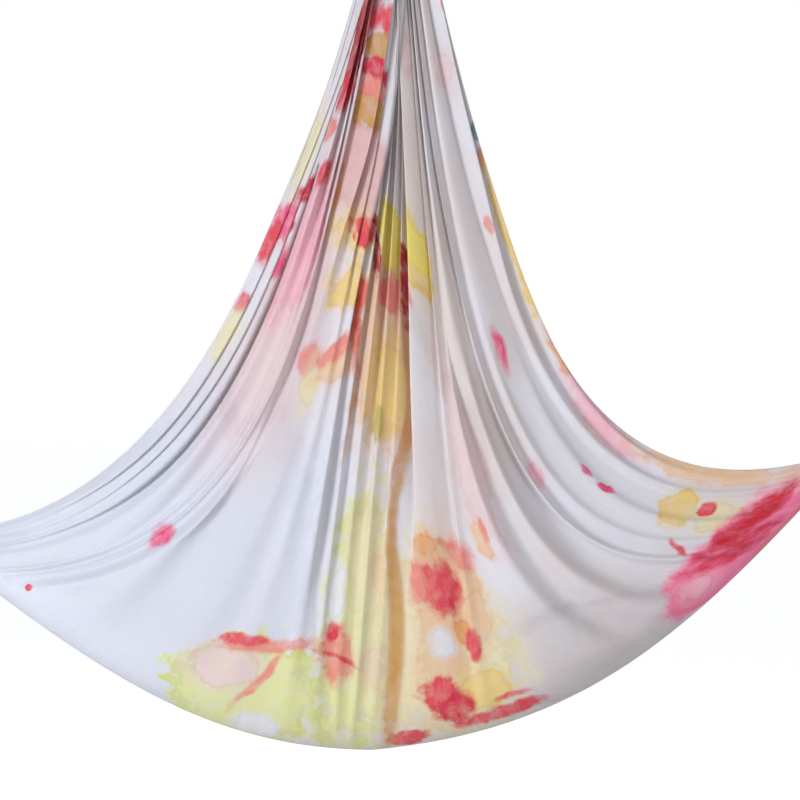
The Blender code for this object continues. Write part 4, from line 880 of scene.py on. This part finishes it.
def metal(name, colour, roughness, grain, wear):
    """Metal with fine drawn grain, small dents and brighter, smoother rubbed places."""
    look, tree, shader = new_look(name, Metallic=1.0)
    place = tree.nodes.new("ShaderNodeTexCoord").outputs["Object"]
    lines = noise(tree, maths(tree, "MULTIPLY", place, (900.0, 900.0, 60.0), vector=True), 1.0, 4.0, 0.7)
    rubbed = ranged(tree, noise(tree, place, 70.0, 5.0, 0.65), 0.48, 0.68)
    specks = node(tree, "ShaderNodeTexVoronoi", Vector=place, Scale=260.0).outputs["Distance"]
    bright = tuple(min(1.0, c * 1.25 + 0.05) for c in colour[:3]) + (1,)
    dull = tuple(c * 0.72 for c in colour[:3]) + (1,)
    tone = mixed(tree, ranged(tree, lines, 0.3, 0.7, 0.0, 0.5), colour, dull)
    tone = mixed(tree, maths(tree, "MULTIPLY", rubbed, wear), tone, bright)
    feed(tree, shader.inputs["Base Color"], tone)
    spread = ranged(tree, lines, 0.25, 0.75, roughness - 0.07, roughness + 0.10)
    polish = maths(tree, "MULTIPLY", rubbed, 0.08 * wear)
    feed(tree, shader.inputs["Roughness"], maths(tree, "SUBTRACT", spread, polish))
    dents = maths(tree, "MULTIPLY", ranged(tree, specks, 0.0, 0.18), 0.25)
    bumped(tree, shader, maths(tree, "ADD", maths(tree, "MULTIPLY", lines, grain), dents), 0.35, 0.0002)
    return look


def shells_mesh(name, shells):
    """One mesh of several closed surfaces: each is a grid of points, rings along a path, with end caps
    unless the rings close on themselves. Sharp edges stay crisp."""
    corners, faces, start = [], [], 0
    for points, closed in shells:
        part = grid_mesh(name, points, wrap_around=True, wrap_along=closed, caps=not closed)
        here = np.zeros(len(part.vertices) * 3)
        part.vertices.foreach_get("co", here)
        corners.append(here.reshape(-1, 3))
        faces += [[start + v for v in face.vertices] for face in part.polygons]
        start += len(part.vertices)
        bpy.data.meshes.remove(part)
    mesh = bpy.data.meshes.new(name)
    mesh.from_pydata(np.concatenate(corners).tolist(), [], faces)
    mesh.shade_smooth()
    mesh.set_sharp_from_angle(angle=CREASE_ANGLE)
    return mesh


def round_bar(path, sideways, radius, closed):
    """Rings of a round bar along a path. sideways is a direction square to the whole path."""
    ahead = np.roll(path, -1, axis=0) - np.roll(path, 1, axis=0)
    if not closed:
        ahead[0], ahead[-1] = path[1] - path[0], path[-1] - path[-2]
    out = np.tile(np.array(sideways, float), (len(path), 1))
    across = np.cross(unit(ahead), out)
    radius = np.broadcast_to(radius, len(path))[:, None]
    turn = full_turn(36)
    return rings_along(path, radius * out, radius * across, np.cos(turn), np.sin(turn))


def tab(outline, at):
    """Flat tab in the carabiner's plane with a fine chamfer round both faces."""
    outline = np.array(outline)
    middle = outline.mean(axis=0)
    small = middle + (outline - middle) * (1 - BEVEL / np.abs(outline - middle).max())
    face, rim = TAB_THICKNESS / 2, TAB_THICKNESS / 2 - TAB_CHAMFER
    layers = ((-face, small), (-rim, outline), (rim, outline), (face, small))
    rings = [np.stack([np.full(len(flat), x), flat[:, 0], flat[:, 1]], axis=1) for x, flat in layers]
    return np.array(rings) + np.array(at)


def carabiner_frame_shells():
    """Rod bent into the oval: nose, top bow, spine, basket and hinge end, in its own frame. The nose
    carries a flat tongue for the gate's slot, and the hinge end a rounded tenon."""
    bow = np.linspace(0, math.pi, 64)
    spine = np.linspace(SPINE / 2, -SPINE / 2, 12)[1:-1]
    top = np.stack([BOW_RADIUS * np.cos(bow), SPINE / 2 + BOW_RADIUS * np.sin(bow)], axis=1)
    nose = [(BOW_RADIUS, NOSE_Z), (BOW_RADIUS, NOSE_Z + BEVEL), (BOW_RADIUS, NOSE_TOP_Z)]
    hinge = [(BOW_RADIUS, HINGE_NECK_Z), (BOW_RADIUS, HINGE_END_Z)]
    line = np.concatenate([nose, top, np.stack([0 * spine - BOW_RADIUS, spine], axis=1), -top, hinge])
    path = np.stack([0 * line[:, 0], line[:, 0], line[:, 1]], axis=1)
    radius = np.full(len(path), ROD_RADIUS)
    radius[:3] = (GATE_RADIUS - BEVEL, GATE_RADIUS, GATE_RADIUS)
    radius[-2:] = GATE_RADIUS
    crown = np.linspace(0, math.pi, 20)
    tenon = [(TENON_RADIUS * math.cos(a), TENON_RADIUS * math.sin(a)) for a in crown]
    tenon += [(-TENON_RADIUS, -TAB_FOOT), (TENON_RADIUS, -TAB_FOOT)]
    narrow, above_foot = TONGUE_HALF - BEVEL, BEVEL - TAB_FOOT
    tongue = [(TONGUE_HALF, TONGUE_ROOT), (-TONGUE_HALF, TONGUE_ROOT), (-TONGUE_HALF, above_foot)]
    tongue += [(-narrow, -TAB_FOOT), (narrow, -TAB_FOOT), (TONGUE_HALF, above_foot)]
    return [
        round_bar(path, (1, 0, 0), radius, False),
        tab(tenon, (0, BOW_RADIUS, HINGE_Z)),
        tab(tongue, (0, BOW_RADIUS, NOSE_Z)),
    ]


plated = metal("plated_steel", (0.58, 0.58, 0.57, 1), 0.30, 0.5, 0.6)
for label, body, side in (("top", "anchor", 0), ("front", "sling", -1), ("rear", "sling", 1)):
    shells = []
    for rings in carabiner_frame_shells():
        if side:
            placed = on_limb(rings + np.array((SIDE_SHIFT, 0, -CARABINER_BELOW_BAR)), side)
        else:
            placed = rings + np.array((0, 0, TOP_CENTRE))
        shells.append((placed, False))
    frame_piece = place_piece(label + "_carabiner_rod", shells_mesh("carabiner", shells), plated)
    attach(frame_piece, body)
    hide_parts(label + "_carabiner_frame")

# Gate parts: each gate is a turned and slotted steel bar on a riveted pin, closed by a spring and its
# plunger. A ribbed sleeve screws up over the nose. The solids have the real shapes, so only their
# finish is set: bright zinc, and a duller one on the sleeves, which are handled most.
bright_zinc = metal("bright_zinc", (0.64, 0.64, 0.65, 1), 0.22, 0.3, 0.4)
handled_zinc = metal("handled_zinc", (0.36, 0.36, 0.37, 1), 0.38, 0.5, 0.9)


def finish_solid(name, finish):
    """Give all material slots of a CAD solid the same finish."""
    for slot in bpy.data.objects[name].material_slots:
        slot.material = finish


for label in ("top", "front", "rear"):
    for part in ("_gate", "_hinge_pin", "_gate_plunger", "_gate_spring"):
        finish_solid(label + part, bright_zinc)
    finish_solid(label + "_screw_sleeve", handled_zinc)

# Swivel body: a forged and tumbled aluminium eye over a turned housing, with a groove round it. The
# housing is counterbored from above for the thrust bearing and bored for the shaft.
EYE_CENTRE_Z = -0.1057
EYE_RADIUS = 0.0215
EYE_BAR_RADIUS = 0.0065
HOUSING_BOTTOM = -0.1507


def turned_rings(profile, base):
    """Rings of a turned piece about the swivel's axis. The profile gives each ring's radius and its height
    above the base, in millimetres."""
    turn = -full_turn(96)
    radius, height = np.array(profile).T[:, :, None] / 1000
    return np.stack(np.broadcast_arrays(radius * np.cos(turn), radius * np.sin(turn), base + height), axis=-1)


def carved(mesh, hole):
    """Housing with a round hole cut out of it, given by the hole's profile."""
    drill = shells_mesh("drill", [(turned_rings(hole, HOUSING_BOTTOM), False)])
    made = []
    for shape in (mesh, drill):
        holder = bpy.data.objects.new("carving", shape)
        bpy.context.collection.objects.link(holder)
        made.append(holder)
    cut = made[0].modifiers.new("cut", "BOOLEAN")
    cut.operation = "DIFFERENCE"
    cut.solver = "EXACT"
    cut.use_self = True
    cut.object = made[1]
    bpy.context.view_layer.update()
    result = bpy.data.meshes.new_from_object(made[0].evaluated_get(bpy.context.evaluated_depsgraph_get()))
    for holder in made:
        bpy.data.objects.remove(holder)
    result.shade_smooth()
    result.set_sharp_from_angle(angle=CREASE_ANGLE)
    return result


around = full_turn(120)
eye_path = np.stack([np.cos(around), 0 * around, np.sin(around)], axis=1) * EYE_RADIUS
eye_path = eye_path + np.array((0, 0, EYE_CENTRE_Z))
housing = ((14.8, 0), (16.6, 0.3), (17.6, 1.0), (18.0, 2.2), (18.0, 5.6), (17.6, 5.9), (17.6, 6.9))
housing += ((18.0, 7.2), (18.0, 14.5), (17.8, 16.5), (17.1, 20.5), (16.1, 24.5), (15.2, 27.4))
housing += ((14.8, 29.2), (14.1, 30.0))
bearing_pocket = ((12.5, 13.5), (12.5, 36.7))
shaft_bore = ((6.5, -1.3), (6.5, 20.7))
tumbled = metal("tumbled_aluminium", (0.66, 0.67, 0.69, 1), 0.34, 0.5, 0.25)
body_shells = [(round_bar(eye_path, (0, 1, 0), EYE_BAR_RADIUS, True), True)]
body_shells += [(turned_rings(housing, HOUSING_BOTTOM), False)]
body_mesh = carved(carved(shells_mesh("swivel", body_shells), bearing_pocket), shaft_bore)
swivel = place_piece("swivel_forging", body_mesh, tumbled)
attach(swivel, "swivel_upper")
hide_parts("swivel_body")

# Lower eye: tumbled aluminium, forged in one with its boss and the shaft that runs up through the bearing.
# Its straight lower bar takes both carabiners.
EYE_HEIGHT = 0.037
EYE_FOOT_HALF = 0.024
EYE_HEAD_HALF = 0.015
EYE_CORNER = 0.0095
BOSS_TOP = -0.1529


def rounded_loop(corners, radius, steps):
    """Closed path through corners given anticlockwise, each rounded by the same radius."""
    points = []
    for i in range(len(corners)):
        before, here, after = (np.array(corners[(i + k) % len(corners)], float) for k in (-1, 0, 1))
        back = (before - here) / np.linalg.norm(before - here)
        ahead = (after - here) / np.linalg.norm(after - here)
        half_angle = math.acos(np.clip(back @ ahead, -1, 1)) / 2
        centre = here + (back + ahead) / np.linalg.norm(back + ahead) * radius / math.sin(half_angle)
        first = here + back * radius / math.tan(half_angle) - centre
        last = here + ahead * radius / math.tan(half_angle) - centre
        start = math.atan2(first[1], first[0])
        sweep = (math.atan2(last[1], last[0]) - start) % (2 * math.pi)
        angle = start + sweep * np.linspace(0, 1, steps)
        points += [(centre[0] + radius * math.cos(a), centre[1] + radius * math.sin(a)) for a in angle]
    return np.array(points)


eye_head = ((EYE_HEAD_HALF, EYE_HEIGHT), (-EYE_HEAD_HALF, EYE_HEIGHT))
eye_corners = ((EYE_FOOT_HALF, 0), *eye_head, (-EYE_FOOT_HALF, 0))
eye_line = rounded_loop(eye_corners, EYE_CORNER, 20)
lower_path = np.stack([eye_line[:, 0], 0 * eye_line[:, 0], BAR_Z + eye_line[:, 1]], axis=1)
stem = ((6.5, -9.2), (9.2, -6.4), (11.6, -4.2), (12.8, -2.4), (13.0, -1.0), (12.8, -0.3), (12.4, 0))
stem += ((6.2, 0), (6.2, 30.1), (5.6, 30.7))
eye_shells = [(round_bar(lower_path, (0, 1, 0), EYE_BAR_RADIUS, True), True)]
eye_shells += [(turned_rings(stem, BOSS_TOP), False)]
lower_eye = place_piece("lower_eye_forging", shells_mesh("lower_eye", eye_shells), tumbled)
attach(lower_eye, "swivel_lower")
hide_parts("swivel_shaft_eye")


# Bearing: two ground races with a brass cage of balls between them, a hexagon nut on the shaft's end
# and a rubber seal under the housing. The solids have the real shapes, so only their finish is set.
def rubber(name):
    """Matt black nitrile rubber with a fine moulded grain and a dusting of chalk."""
    look, tree, shader = new_look(name)
    place = tree.nodes.new("ShaderNodeTexCoord").outputs["Object"]
    grain = noise(tree, place, 1400.0, 3.0)
    chalk = ranged(tree, noise(tree, place, 120.0, 5.0), 0.55, 0.80, 0.0, 0.35)
    tone = mixed(tree, chalk, (0.018, 0.018, 0.019, 1), (0.22, 0.22, 0.21, 1))
    feed(tree, shader.inputs["Base Color"], tone)
    feed(tree, shader.inputs["Roughness"], ranged(tree, grain, 0.3, 0.7, 0.60, 0.80))
    bumped(tree, shader, grain, 0.4, 0.0001)
    return look


for name in ("thrust_race_lower", "thrust_race_upper", "shaft_nut"):
    finish_solid(name, bright_zinc)
finish_solid("thrust_ball_cage", metal("brass", (0.72, 0.48, 0.20, 1), 0.28, 0.5, 0.5))
finish_solid("dust_seal", rubber("nitrile_rubber"))
